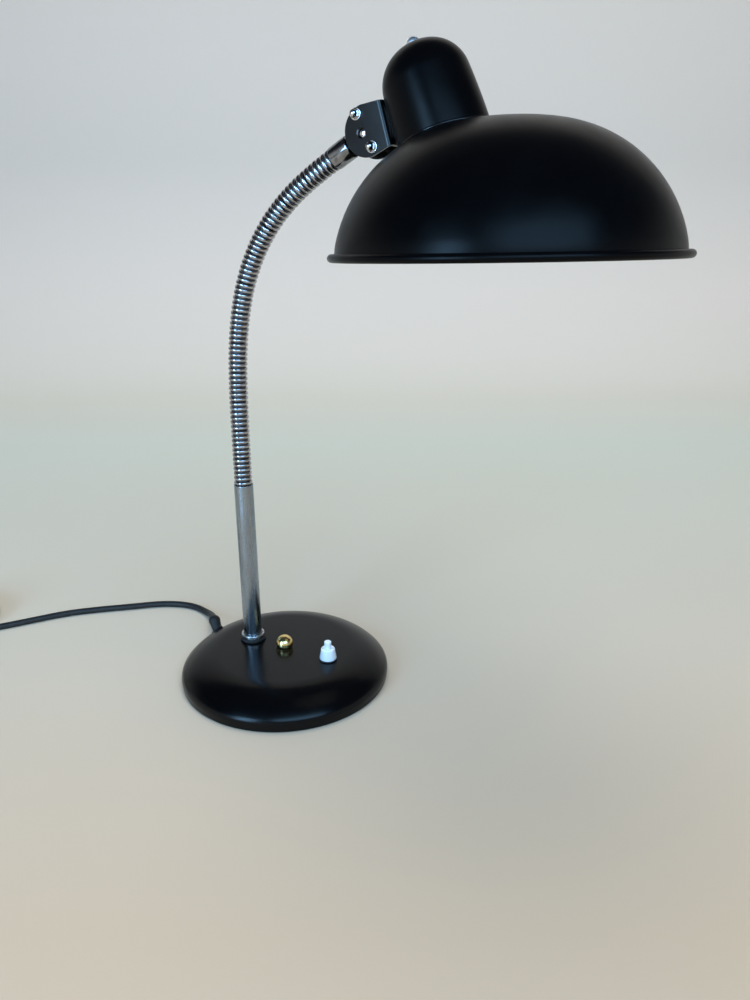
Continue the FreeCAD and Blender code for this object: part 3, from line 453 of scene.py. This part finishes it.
# ---- Geometry Nodes --------------------------------------------------------------------------
def node_group(name, inputs):
    """An empty tree with a geometry in and out and these named inputs."""
    tree = bpy.data.node_groups.new(name, "GeometryNodeTree")
    tree.interface.new_socket("Geometry", in_out="INPUT", socket_type="NodeSocketGeometry")
    for label, kind, value in inputs:
        socket = tree.interface.new_socket(label, in_out="INPUT", socket_type=kind)
        if value is not None:
            socket.default_value = value
    tree.interface.new_socket("Geometry", in_out="OUTPUT", socket_type="NodeSocketGeometry")
    return tree, tree.nodes.new("NodeGroupInput"), tree.nodes.new("NodeGroupOutput")


def pieces_on_points(tree, given, out, label):
    """Ends a tree: the object of this input on every point, as plain geometry in the given material."""
    nodes, links = tree.nodes, tree.links
    piece = nodes.new("GeometryNodeObjectInfo")
    place = nodes.new("GeometryNodeInstanceOnPoints")
    real = nodes.new("GeometryNodeRealizeInstances")
    paint = nodes.new("GeometryNodeSetMaterial")
    links.new(given.outputs[label], piece.inputs["Object"])
    links.new(piece.outputs["Geometry"], place.inputs["Instance"])
    links.new(place.outputs["Instances"], real.inputs["Geometry"])
    links.new(real.outputs["Geometry"], paint.inputs["Geometry"])
    links.new(given.outputs["Material"], paint.inputs["Material"])
    links.new(paint.outputs["Geometry"], out.inputs["Geometry"])
    return place


def rib_tree():
    """Ribs along a curve: one ring in the middle of each equal part of it."""
    tree, given, out = node_group("ribs_along_neck", [
        ("Ribs", "NodeSocketInt", RIBS_PER_LINK),
        ("Ring", "NodeSocketObject", None),
        ("Material", "NodeSocketMaterial", None),
    ])
    nodes, links = tree.nodes, tree.links
    halves = nodes.new("ShaderNodeMath")
    halves.operation = "MULTIPLY_ADD"
    halves.inputs[1].default_value = 2
    halves.inputs[2].default_value = 1
    resample = nodes.new("GeometryNodeResampleCurve")
    points = nodes.new("GeometryNodeCurveToPoints")
    points.mode = "EVALUATED"
    index = nodes.new("GeometryNodeInputIndex")
    odd = nodes.new("ShaderNodeMath")
    odd.operation = "MODULO"
    odd.inputs[1].default_value = 2
    place = pieces_on_points(tree, given, out, "Ring")
    links.new(given.outputs["Ribs"], halves.inputs[0])
    links.new(given.outputs["Geometry"], resample.inputs["Curve"])
    links.new(halves.outputs[0], resample.inputs["Count"])
    links.new(resample.outputs["Curve"], points.inputs["Curve"])
    links.new(points.outputs["Points"], place.inputs["Points"])
    links.new(points.outputs["Rotation"], place.inputs["Rotation"])
    links.new(index.outputs[0], odd.inputs[0])
    links.new(odd.outputs[0], place.inputs["Selection"])
    return tree


def fastener_tree():
    """One fastener on each point, all turned the same way."""
    tree, given, out = node_group("fasteners_on_points", [
        ("Fastener", "NodeSocketObject", None),
        ("Material", "NodeSocketMaterial", None),
    ])
    place = pieces_on_points(tree, given, out, "Fastener")
    tree.links.new(given.outputs["Geometry"], place.inputs["Points"])
    return tree


def run_tree(obj, tree, values):
    """Give an object the tree, set its named inputs and turn the result into a plain mesh."""
    modifier = obj.modifiers.new("made", "NODES")
    modifier.node_group = tree
    sockets = {s.name: s.identifier for s in tree.interface.items_tree if s.in_out == "INPUT"}
    for label, value in values.items():
        modifier[sockets[label]] = value
    out = made_real(obj)
    out.data.set_sharp_from_angle(angle=math.radians(35))
    return out


# ---- base ------------------------------------------------------------------------------------
def cover_outline(inset):
    """The cover's skin from the middle of its top to its foot."""
    crown_z, edge_r = CROWN_Z - inset, EDGE_R - inset
    centre = (BASE_R - EDGE_R, EDGE_Z)
    dr, dz = CROWN_R - centre[0], crown_z - centre[1]
    shoulder_r = (dr * dr + dz * dz - edge_r * edge_r) / (2 * (dz - edge_r))
    middle = (CROWN_R, crown_z - shoulder_r)
    slope = math.degrees(math.atan2(centre[1] - middle[1], centre[0] - middle[0]))
    points = [(0, crown_z), (CROWN_R * 0.5, crown_z)]
    points += arc(middle, shoulder_r, 90, slope, 24)
    points += arc(centre, edge_r, slope, 0, 10)[1:]
    return points + [(BASE_R - inset - 0.5, COVER_FOOT_Z)]


def bored(obj, cutter):
    """The piece with the cutter's shape taken out of it."""
    cut = obj.modifiers.new("hole", "BOOLEAN")
    cut.object, cut.operation, cut.solver = cutter, "DIFFERENCE", "EXACT"
    obj = made_real(obj)
    obj.data.set_sharp_from_angle(angle=math.radians(35))
    bpy.data.objects.remove(cutter)
    return obj


def build_base():
    skin = cover_outline(0) + cover_outline(COVER_WALL)[::-1]
    cover = lathe("base_cover_enamel", skin, Matrix(), BASE_BLACK, 256)
    for x, radius in ((0, STUD_R), (STEM_X, NIPPLE_R), (SWITCH_X, SWITCH_THREAD_R)):
        cover = bored(cover, lathe("hole", band(0, radius + HOLE_PLAY, 15, 40), shift(x, 0, 0), BLACK, 48))
    outlet, axis = outlet_point(), polar(OUTLET_TURN, OUTLET_RISE)
    place = Matrix.Translation(outlet) @ axis.to_track_quat("Z", "Y").to_matrix().to_4x4()
    cover = bored(cover, lathe("hole", band(0, OUTLET_HOLE_R, -9, 9), place, BLACK, 48))
    show(cover, "base", "base_cover")
    for node, material in (("base_weight", IRON), ("bottom_plate", STEEL), ("base_pad", FELT),
                           ("centre_stud", STEEL), ("weight_nut", STEEL), ("stem_nipple", STEEL),
                           ("stem_lock_nut", STEEL), ("switch_body", BAKELITE), ("switch_nut", STEEL)):
        show(polished_copy(node, material), "base", node)


def build_ball_nut():
    centre_z = NUT_FOOT_H + math.sqrt(NUT_BALL_R ** 2 - NUT_FOOT_R ** 2)
    start = -math.degrees(math.acos(NUT_FOOT_R / NUT_BALL_R))
    ball = arc((0, centre_z), NUT_BALL_R, start, 90, 28)
    ball[-1] = (0, centre_z + NUT_BALL_R)
    outline = [(0, 0), (NUT_FOOT_R - 0.15, 0), (NUT_FOOT_R, 0.15)] + ball
    show(lathe("brass_ball_nut", outline, shift(0, 0, CROWN_Z), BRASS, 64), "base", "ball_nut")


def build_stem():
    foot = CROWN_Z + FOOT_WASHER_H
    place = shift(STEM_X, 0, 0)
    tube = band(STEM_R - STEM_WALL, STEM_R, foot, STEM_TOP_Z)
    show(lathe("stem_tube_chrome", soften(tube, 0.35, closed=True), place, TUBE_CHROME_PAINTED_REFLECTION, 72), "base", "stem_tube")
    collar = band(STEM_R, COLLAR_R, foot, foot + COLLAR_H)
    show(lathe("stem_collar_chrome", soften(collar, 1.1, 5, True), place, COLLAR, 72), "base", "stem_collar")
    washer = band(WASHER_HOLE_R, FOOT_WASHER_R, CROWN_Z, foot)
    show(lathe("stem_washer_fibre", soften(washer, 0.5, 3, True), place, BLACK_FIBRE, 72), "base", "stem_washer")


def build_switch():
    place = shift(SWITCH_X, 0, 0)
    foot = CROWN_Z + SWITCH_WASHER_H
    top = foot + SWITCH_H
    hole = BUTTON_R + RUNNING
    washer = soften(band(WASHER_HOLE_R, SWITCH_WASHER_R, CROWN_Z, foot), 0.4, 3, True)
    show(lathe("switch_washer_fibre", washer, place, BLACK_FIBRE, 64), "base", "switch_washer")
    stop = top - BUTTON_GUIDE - RUNNING
    chamber, ceiling = BUTTON_FLANGE_R + FLANGE_ROOM, stop + FLANGE_ROOM
    cone = [(chamber, foot), (SWITCH_FOOT_R, foot), (SWITCH_FOOT_R, foot + 1.2), (SWITCH_TOP_R, top),
            (hole + 0.4, top), (hole, top - 0.4), (hole, ceiling), (chamber, ceiling)]
    housing = lathe("switch_housing_white", soften(cone, 0.9, 4, True), place, SWITCH_WHITE, 72)
    show(housing, "base", "switch_housing")
    # A dark plug in each of the housing's two notches paints the shade inside them.
    for side in (-1, 1):
        at = shift(SWITCH_X + side * (hole + 1.5) * 0.8788, side * (hole + 1.5) * 0.4772, 0)
        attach(lathe("switch_notch", band(0, 0.75, top - 1.8, top + 0.03), at, NOTCH_SHADE, 16), "base")
    button_top = top + BUTTON_STAND
    flange = stop - BUTTON_FLANGE_H
    button = [(0, flange), (BUTTON_FLANGE_R, flange), (BUTTON_FLANGE_R, stop), (BUTTON_R, stop)]
    button += soften([(BUTTON_R, stop), (BUTTON_R, button_top), (0, button_top)], 0.8, 5)[1:]
    show(lathe("switch_button_white", button, place, SWITCH_WHITE, 48), "button", "switch_button")
    spring = build_spring(flange)
    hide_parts("button_spring")
    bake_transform(spring)


def build_spring(top):
    """Coil spring between the contact block and the button's flange."""
    mean, count = BUTTON_FLANGE_R - RUNNING - SPRING_WIRE_R, SPRING_TURNS * 24
    low, high = SPRING_FOOT_Z + SPRING_WIRE_R, top - SPRING_WIRE_R - SPRING_GAP
    line = []
    for k in range(count + 1):
        part = min(max((k / count * SPRING_TURNS - 1) / (SPRING_TURNS - 2), 0), 1)
        centre = Vector((SWITCH_X, 0, low + (high - low) * part))
        line.append(centre + polar(360 * SPRING_TURNS * k / count) * mean)
    return add_mesh("button_spring_coil", *tube_along(line, SPRING_WIRE_R, 8), STEEL, 60)


# ---- neck ------------------------------------------------------------------------------------
def rib_ring():
    """One rib: a round-backed ring about Z."""
    outline = [(RIB_CORE_R - 0.4, -RIB_HALF_W)]
    steps = 14
    for k in range(steps + 1):
        a = math.pi * (k / steps - 0.5)
        height = (RIB_R - RIB_CORE_R) * max(math.cos(a), 0) ** 0.8
        outline.append((RIB_CORE_R + height, RIB_HALF_W * math.sin(a)))
    outline.append((RIB_CORE_R - 0.4, RIB_HALF_W))
    return lathe("rib_ring", outline, Matrix(), NECK_NICKEL, 64, sharp=50)


def link_line(index):
    """A link's centre line as a curve, in metres."""
    curve = bpy.data.curves.new("neck_line", "CURVE")
    curve.dimensions = "3D"
    spline = curve.splines.new("POLY")
    steps = 24
    spline.points.add(steps)
    for k in range(steps + 1):
        spline.points[k].co = (*(neck_point(index, LINK_LENGTH * k / steps) * MM), 1)
    obj = placed("neck_ribs_%02d" % (index + 1), curve)
    return obj


def link_core(index):
    """What shows between the ribs: the inner tube, a ball above it and a socket below, all near-black as painted
    shade in the grooves.
    """
    low, high = LINK_GAP / 2, LINK_LENGTH - LINK_GAP / 2
    outline = []
    steps = 8
    if index:
        socket_r, depth = LINK_BALL_R + RUNNING, SOCKET_DEPTH
        outline += [(0, depth), (socket_r, depth), (socket_r, low)]
    else:
        outline += [(0, low)]
    outline += [(RIB_CORE_R, low + (high - low) * k / steps) for k in range(steps + 1)]
    if index < LINKS - 1:
        first = math.degrees(math.asin((high - LINK_LENGTH) / LINK_BALL_R))
        outline += arc((0, LINK_LENGTH), LINK_BALL_R, first, LINK_BALL_TOP, 10)
        outline += [(0, LINK_LENGTH + LINK_BALL_R * math.sin(math.radians(LINK_BALL_TOP)))]
    else:
        outline += [(0, high)]
    rings = [ring(neck_place(index, run), r, 0, 48) for r, run in outline]
    return skin("neck_core_%02d" % (index + 1), rings, 48, GROOVE_SHADE)


def build_neck():
    pattern, tree = rib_ring(), rib_tree()
    for index in range(LINKS):
        ribs = run_tree(link_line(index), tree,
                        {"Ribs": RIBS_PER_LINK, "Ring": pattern, "Material": NECK_NICKEL})
        body = "base" if index == 0 else "neck_%d" % (index + 1)
        show(ribs, body, "neck_link_%02d" % (index + 1))
        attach(link_core(index), body)
    bpy.data.objects.remove(pattern)


def build_ball_joint():
    outline = soften(band(BALL_STEM_R + RUNNING, FERRULE_R, 0.1, FERRULE_H), 0.8, 4, True)
    show(lathe("neck_ferrule_chrome", outline, NECK_END, FERRULE_PAINTED_REFLECTION, 72), "neck_12", "neck_ferrule")
    start = math.degrees(math.acos(BALL_STEM_R / BALL_R))
    ball = arc((0, BALL_REACH), BALL_R, -start, 90, 30)
    ball[-1] = (0, BALL_REACH + BALL_R)
    stud = [(0, 9), (BALL_STEM_R, 9), (BALL_STEM_R, 18)] + ball
    show(lathe("joint_ball_chrome", stud, NECK_END, CHROME, 64), "ball", "ball_stud")


# ---- head ------------------------------------------------------------------------------------
def build_shade():
    outer = bell(SHADE_R, SHADE_H, SHADE_CROWN_R, SHADE_TURNS, 0)
    inner = bell(SHADE_R, SHADE_H, SHADE_CROWN_R, SHADE_TURNS, SHADE_WALL)
    bead = arc((SHADE_R + BEAD_OUT, 0), BEAD_R, 137, -223 + 26, 24)
    outline = outer[:-1] + bead + inner[::-1][1:]
    shade = lathe("shade_enamel", outline, HEAD, BLACK, 256, sharp=60)
    shade.data.materials.append(WHITE_INSIDE)
    centre = HEAD @ Vector((0, 0, 0)) * MM
    for face in shade.data.polygons:
        local = HEAD.inverted() @ (face.center / MM)
        out = (face.center - centre).normalized()
        inside = face.normal.dot(out) < 0 and math.hypot(local.x, local.y) < SHADE_R - SHADE_WALL * 0.4
        face.material_index = 1 if inside else 0
    cutter = lathe("opening_cutter", band(0, OPENING_R, -20, 30), DOME, BLACK, 64)
    show(bored(shade, cutter), "head", "shade")


def dome_bead():
    """Rolled edge round the dome's lip, lying on the shade."""
    crown = bell(SHADE_R, SHADE_H, SHADE_CROWN_R, SHADE_TURNS, 0)[::-1]
    to_head = HEAD.inverted() @ DOME

    def shade_height(r):
        for (r0, z0), (r1, z1) in zip(crown, crown[1:]):
            if min(r0, r1) <= r <= max(r0, r1) and r0 != r1:
                return z0 + (z1 - z0) * (r - r0) / (r1 - r0)
        return 0.0

    around, reach, line = 96, DOME_R + LIP_W - BEAD_SECTION_R, []
    for k in range(around):
        a = 2 * math.pi * k / around
        low, high = -30.0, 30.0
        for _ in range(30):
            h = (low + high) / 2
            p = to_head @ Vector((reach * math.cos(a), reach * math.sin(a), h))
            if p.z > shade_height(math.hypot(p.x, p.y)):
                high = h
            else:
                low = h
        line.append(HEAD @ (p + Z * BEAD_SECTION_R * 0.9))
    return add_mesh("dome_rolled_edge", *tube_along(line, BEAD_SECTION_R, 12, closed=True), BRACKET_BLACK)


def on_bolts(tree, name, pattern, face, outward):
    """A fastener, made about Z, on both clamp bolts at this distance out from the ball."""
    joint = HEAD @ shift(-BALL_TO_AXIS, 0, BALL_TO_RIM) @ turn(Y, -BOLT_RISE)
    spots = [joint @ Vector((BOLT_AHEAD, outward * face, side * BOLT_SPAN / 2)) for side in (-1, 1)]
    mesh = bpy.data.meshes.new(name)
    mesh.from_pydata([p * MM for p in spots], [], [])
    points = placed(name, mesh)
    pattern.data.transform(joint.to_3x3().to_4x4() @ turn(X, -90 * outward))
    out = run_tree(points, tree, {"Fastener": pattern, "Material": SCREW})
    bpy.data.objects.remove(pattern)
    return out


def build_fasteners():
    """Two clamp bolts through the cheeks: heads behind, washers and acorn nuts in front."""
    tree = fastener_tree()
    outer = math.sqrt(BALL_R ** 2 - CHEEK_HOLE_R ** 2) + RUNNING + CHEEK_THICK
    shank = [(0, -2 * outer - 3), (BOLT_R, -2 * outer - 3), (BOLT_R, 0)]
    head = [(BOLT_R, 0), (BOLT_HEAD_R, 0), (BOLT_HEAD_R, BOLT_HEAD_H), (0, BOLT_HEAD_H)]
    bolt = shank + soften(head, 1.0, 5)[1:]
    bolts = on_bolts(tree, "clamp_bolts_bright", lathe("bolt", bolt, Matrix(), SCREW, 40), outer, 1)
    show(bolts, "head", "clamp_bolts")
    washer = band(BOLT_R + 0.2, CLAMP_WASHER_R, 0, CLAMP_WASHER_H)
    washers = lathe("washer", soften(washer, 0.25, 3, True), Matrix(), SCREW, 48)
    show(on_bolts(tree, "clamp_washers_bright", washers, outer, -1), "head", "clamp_washers")
    corner = ACORN_FLATS / math.sqrt(3)
    nut = [(0, 0), (corner - 0.35, 0), (corner, 0.35), (corner, ACORN_NUT_H - 0.5),
           (ACORN_DOME_R, ACORN_NUT_H), (0, ACORN_NUT_H)]
    acorn = lathe("acorn", nut, Matrix(), SCREW, 6, 25)
    dome = lathe("dome", [(0, 0.5)] + [(r, z) for r, z in arc((0, ACORN_NUT_H), ACORN_DOME_R, 0, 90, 14)[:-1]]
                 + [(0, ACORN_NUT_H + ACORN_DOME_R)], Matrix(), SCREW, 40)
    work = bmesh.new()
    work.from_mesh(acorn.data)
    work.from_mesh(dome.data)
    work.to_mesh(acorn.data)
    work.free()
    bpy.data.objects.remove(dome)
    show(on_bolts(tree, "acorn_nuts_bright", acorn, outer + CLAMP_WASHER_H, -1), "head", "acorn_nuts")


def build_head():
    build_shade()
    show(polished_copy("dome_cap", BLACK, sharp=40), "head", "dome_cap")
    crown = [(0, 0), (CROWN_NUT_R, 0), (CROWN_NUT_R, 1.2), (CROWN_NUT_R - 0.5, 1.5)]
    crown += arc((0, 1.5), CROWN_NUT_R - 0.5, 8, 90, 14)[:-1] + [(0, CROWN_NUT_R + 1.0)]
    nut = lathe("crown_nut_bright", crown, DOME @ shift(0, 0, DOME_H - 0.4), CROWN_NICKEL, 48)
    show(nut, "head", "crown_screw")
    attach(dome_bead(), "head")
    show(polished_copy("joint_bracket", BRACKET_BLACK, 35, bevel=0.35), "head", "joint_bracket")
    show(polished_copy("dome_saddle", BLACK, 35), "head", "dome_saddle")
    build_fasteners()
    show(polished_copy("bracket_rivets", SCREW, 30), "head", "bracket_rivets")
    for node, material in (("lampholder", BAKELITE), ("carrier_plate", STEEL), ("shade_ring", BAKELITE),
                           ("bulb_cap", CAP_METAL), ("bulb_glass", OPAL)):
        show(polished_copy(node, material, 35), "head", node)


# ---- cord ------------------------------------------------------------------------------------
def cord_exit():
    """End of the rubber sleeve's nozzle, which points at the cord's first turn, in metres."""
    tip = (outlet_point() + polar(RELIEF_TURN, RELIEF_RISE) * RELIEF_LENGTH) * MM
    return tip + (Vector(CORD_ROUTE[0]) - tip).normalized() * NOZZLE_LENGTH * MM


def coil_points(per_turn=18):
    """Control points of the wound turns: each turn keeps its own slot round the bundle's middle."""
    wide = 8 / (5 + 3 * math.cos(2 * math.pi / per_turn))
    points, count = [], round(COIL_TURNS * per_turn)
    for k in range(count + 1):
        turns = COIL_TURNS * k / count
        slot = math.radians(COIL_FIRST_SLOT - 360 / COIL_SLOTS * turns)
        out = (COIL_R + COIL_SLOT_R * math.cos(slot)) * (wide if 0 < k < count else 1)
        points.append(COIL_CENTRE + polar(COIL_START - 360 * turns) * out + Z * COIL_SLOT_R * math.sin(slot))
    return points


def build_cord():
    tail = coil_points()[-1]
    plug_x = COIL_CENTRE.x - TAIL_LENGTH
    line = [cord_exit()] + [Vector(p) for p in CORD_ROUTE[:-1]] + coil_points()
    line += [Vector((tail.x - 0.012, tail.y, tail.z)), Vector((plug_x + 0.012, tail.y, PLUG_H / 2 * MM)),
             Vector((plug_x - 0.002, tail.y, PLUG_H / 2 * MM))]
    curve = bpy.data.curves.new("supply_cord_black", "CURVE")
    curve.dimensions, curve.resolution_u = "3D", 6
    curve.bevel_depth, curve.bevel_resolution, curve.use_fill_caps = CORD_R * MM, 4, True
    spline = curve.splines.new("NURBS")
    spline.points.add(len(line) - 1)
    for point, place in zip(spline.points, line):
        point.co = (*place, 1)
    spline.order_u = 3
    spline.use_endpoint_u = True
    curve.materials.append(RUBBER)
    cord = placed("supply_cord_black", curve)
    show(cord, "base", "supply_cord", "cord_coil", "cord_tail")
    tie = show(polished_copy("cord_tie", RUBBER, 35, bevel=0.25), "base", "cord_tie")
    tie.data.transform(Matrix.Translation(TIE_SHIFT))
    plug = build_plug(tail)
    collar = build_plug_neck(tail)
    pins = show(polished_copy("plug_pins", SCREW, 35), "base", "plug_pins")
    show(polished_copy("strain_relief", RUBBER, 35), "base", "strain_relief")


def build_plug(tail):
    """Moulded plug: a rounded body, waisted where fingers hold it, with grip ridges on top."""
    rows, around, square = 28, 40, 3.2
    verts, faces = [], []
    for row in range(rows + 1):
        along = row / rows
        from_end = min(along, 1 - along) / 0.12
        end = math.sqrt(max(0.0, 1 - (1 - from_end) ** 2)) if from_end < 1 else 1.0
        waist = 1 - 0.14 * math.sin(math.pi * min(1, along / 0.7)) ** 2
        ridge = 0.35 * math.sin(along * 11 * math.pi * 2) if 0.18 < along < 0.64 else 0
        for k in range(around):
            angle = 2 * math.pi * k / around
            side, up = math.cos(angle), math.sin(angle)
            out = (abs(side) ** square + abs(up) ** square) ** (-1 / square) * (0.72 + 0.28 * end)
            verts.append((COIL_CENTRE.x / MM - TAIL_LENGTH / MM - along * PLUG_LENGTH,
                          tail.y / MM + side * out * PLUG_W / 2 * waist,
                          PLUG_H / 2 + up * out * (PLUG_H / 2 - 0.35) + (ridge if up > 0.5 else 0)))
    for row in range(rows):
        for k in range(around):
            a, b = row * around + k, row * around + (k + 1) % around
            faces.append((a, b, b + around, a + around))
    faces.append(tuple(reversed(range(around))))
    faces.append(tuple(range(rows * around, (rows + 1) * around)))
    return show(add_mesh("plug_moulded", verts, faces, RUBBER, 50), "base", "plug_body")


def build_plug_neck(tail):
    """Ringed sleeve where the cord goes into the plug."""
    bore, pitch, count = CORD_R + 0.05, 3.2, 4
    outline = [(bore, 0)]
    for k in range(count):
        foot, wide = k * pitch, 5.4 - k * 0.5
        outline += [(wide, foot), (wide, foot + 2.0), (wide - 1.1, foot + 2.2), (wide - 1.1, foot + pitch)]
    outline += [(bore, count * pitch)]
    foot = Vector((COIL_CENTRE.x - TAIL_LENGTH - 0.0005, tail.y, PLUG_H / 2 * MM))
    place = Matrix.Translation(foot / MM) @ turn(Y, 90)
    return show(lathe("plug_neck_rings", soften(outline, 0.3, closed=True), place, RUBBER, 40), "base")


# ---- stage -----------------------------------------------------------------------------------
EYE = Vector((404.5, -566.1, 429.7)) * MM
LOOK = Vector((-0.4473, 0.8238, -0.3483))
LENS, ROLL = 30.3, 0.4
PAPER_FROM, PAPER_TO = -0.5, 2.5
PAPER_COLOURS = (       # distance behind the lamp plus height, in metres, and the paper's colour there
    (-0.3, (0.50, 0.38, 0.27)), (0.05, (0.50, 0.45, 0.37)), (0.75, (0.55, 0.585, 0.53)),
    (1.65, (0.74, 0.68, 0.62)), (2.3, (0.80, 0.73, 0.66)))


def build_camera():
    data = bpy.data.cameras.new("portrait")
    data.lens, data.sensor_width = LENS, 36
    data.clip_start, data.clip_end = 0.01, 20
    camera = placed("portrait", data)
    forward = LOOK.normalized()
    right = forward.cross(Z).normalized()
    down = forward.cross(right)
    roll = math.radians(ROLL)
    right, down = (right * math.cos(roll) + down * math.sin(roll),
                   down * math.cos(roll) - right * math.sin(roll))
    turned = Matrix((right, -down, -forward)).transposed().to_4x4()
    camera.matrix_world = Matrix.Translation(EYE) @ turned
    bpy.context.scene.camera = camera


def backdrop_material():
    """Pale paper: warm in front, a little green behind and warm again up the wall."""
    mat = new_material("pale_paper", (0.6, 0.58, 0.54), 0.95, Specular_IOR_Level=0.1)
    nodes, links = mat.node_tree.nodes, mat.node_tree.links
    coords = nodes.new("ShaderNodeTexCoord")
    along = nodes.new("ShaderNodeVectorMath")
    along.operation = "DOT_PRODUCT"
    along.inputs[1].default_value = (*Vector((LOOK.x, LOOK.y, 0)).normalized().xy, 1)
    span = nodes.new("ShaderNodeMapRange")
    span.inputs["From Min"].default_value = PAPER_FROM
    span.inputs["From Max"].default_value = PAPER_TO
    ramp = nodes.new("ShaderNodeValToRGB")
    for k, (at, color) in enumerate(PAPER_COLOURS):
        stop = ramp.color_ramp.elements[k] if k < 2 else ramp.color_ramp.elements.new(1)
        stop.position = (at - PAPER_FROM) / (PAPER_TO - PAPER_FROM)
        stop.color = (*color, 1)
    links.new(coords.outputs["Object"], along.inputs[0])
    links.new(along.outputs["Value"], span.inputs["Value"])
    links.new(span.outputs["Result"], ramp.inputs["Fac"])
    links.new(ramp.outputs["Color"], nodes["Principled BSDF"].inputs["Base Color"])
    return mat


def build_stage():
    """A sweep of paper: floor, a wide curve and a wall, square to the camera's own heading."""
    ahead = Vector((LOOK.x, LOOK.y, 0)).normalized()
    across = Vector((ahead.y, -ahead.x, 0))
    profile = [(-1.8, 0), (-0.8, 0), (0.0, 0), (0.6, 0), (1.1, 0)]
    radius, wall = 0.5, 1.1
    for k in range(1, 17):
        a = math.pi / 2 * k / 16
        profile.append((wall + radius * math.sin(a), radius * (1 - math.cos(a))))
    profile += [(wall + radius, 1.2), (wall + radius, 2.4)]
    verts, faces = [], []
    for run, height in profile:
        for side in (-2.6, 2.6):
            verts.append(ahead * run + across * side + Z * height)
    for k in range(len(profile) - 1):
        faces.append((2 * k, 2 * k + 1, 2 * k + 3, 2 * k + 2))
    mesh = bpy.data.meshes.new("paper_sweep")
    mesh.from_pydata(verts, [], faces)
    mesh.shade_smooth()
    mesh.materials.append(backdrop_material())
    sweep = placed("paper_sweep", mesh)


def area_light(name, place, target, size, power, color, shine=True):
    """A soft rectangle of light; without shine it doesn't mirror in gloss or metal."""
    data = bpy.data.lights.new(name, "AREA")
    data.shape, data.size, data.size_y = "RECTANGLE", size[0], size[1]
    data.energy, data.color = power, color
    light = placed(name, data)
    light.location = place
    light.rotation_mode = "QUATERNION"
    light.rotation_quaternion = (Vector(target) - Vector(place)).to_track_quat("-Z", "Y")
    light.visible_camera, light.visible_glossy = False, shine


def build_room():
    """A dim room that looks pale near the horizon, to the eye and in gloss, metal and glass."""
    world = bpy.data.worlds.new("room")
    bpy.context.scene.world = world
    world.use_nodes = True
    nodes, links = world.node_tree.nodes, world.node_tree.links
    sky = nodes["Background"]
    coords = nodes.new("ShaderNodeTexCoord")
    split = nodes.new("ShaderNodeSeparateXYZ")
    ramp = nodes.new("ShaderNodeValToRGB")
    ramp.color_ramp.elements[0].position, ramp.color_ramp.elements[1].position = 0.12, 0.42
    ramp.color_ramp.elements[0].color = (0.55, 0.57, 0.55, 1)
    ramp.color_ramp.elements[1].color = (0.03, 0.035, 0.045, 1)
    rays = nodes.new("ShaderNodeLightPath")
    seen = []
    for first, second in (("Is Camera Ray", "Is Glossy Ray"), (None, "Is Transmission Ray")):
        add = nodes.new("ShaderNodeMath")
        add.operation, add.use_clamp = "ADD", True
        links.new(rays.outputs[first] if first else seen[-1].outputs[0], add.inputs[0])
        links.new(rays.outputs[second], add.inputs[1])
        seen.append(add)
    choose = nodes.new("ShaderNodeMix")
    choose.data_type = "RGBA"
    choose.inputs["A"].default_value = (0.064, 0.070, 0.080, 1)
    links.new(coords.outputs["Generated"], split.inputs["Vector"])
    links.new(split.outputs["Z"], ramp.inputs["Fac"])
    links.new(seen[-1].outputs[0], choose.inputs["Factor"])
    links.new(ramp.outputs["Color"], choose.inputs["B"])
    links.new(choose.outputs["Result"], sky.inputs["Color"])


def build_light():
    middle = Vector((0.05, 0, 0.25))

    def from_camera(degrees, rise, distance):
        """A place this far round to the right of the camera and this high, seen from the lamp."""
        towards = Vector((-LOOK.x, -LOOK.y, 0)).normalized()
        return middle + (turn(Z, degrees) @ towards * math.cos(math.radians(rise))
                         + Z * math.sin(math.radians(rise))) * distance

    blue = (0.33, 0.64, 1.0)
    area_light("front_window", from_camera(17, 30, 1.5), middle, (1.4, 0.7), 19, blue)
    area_light("left_window", from_camera(-39, 14, 1.6), middle, (0.5, 0.9), 23, blue)
    warm = (1.0, 0.96, 0.90)
    area_light("top_fill", from_camera(180, 80, 3.2), middle, (2.4, 2.4), 62, warm, shine=False)
    area_light("front_fill", from_camera(30, 56, 3.3), middle, (2.2, 2.2), 50, warm, shine=False)


build_camera()
build_cord()
build_base()
build_ball_nut()
build_stem()
build_switch()
build_neck()
build_ball_joint()
build_head()
build_stage()
build_room()
build_light()
bpy.context.scene.view_settings.view_transform = "Standard"
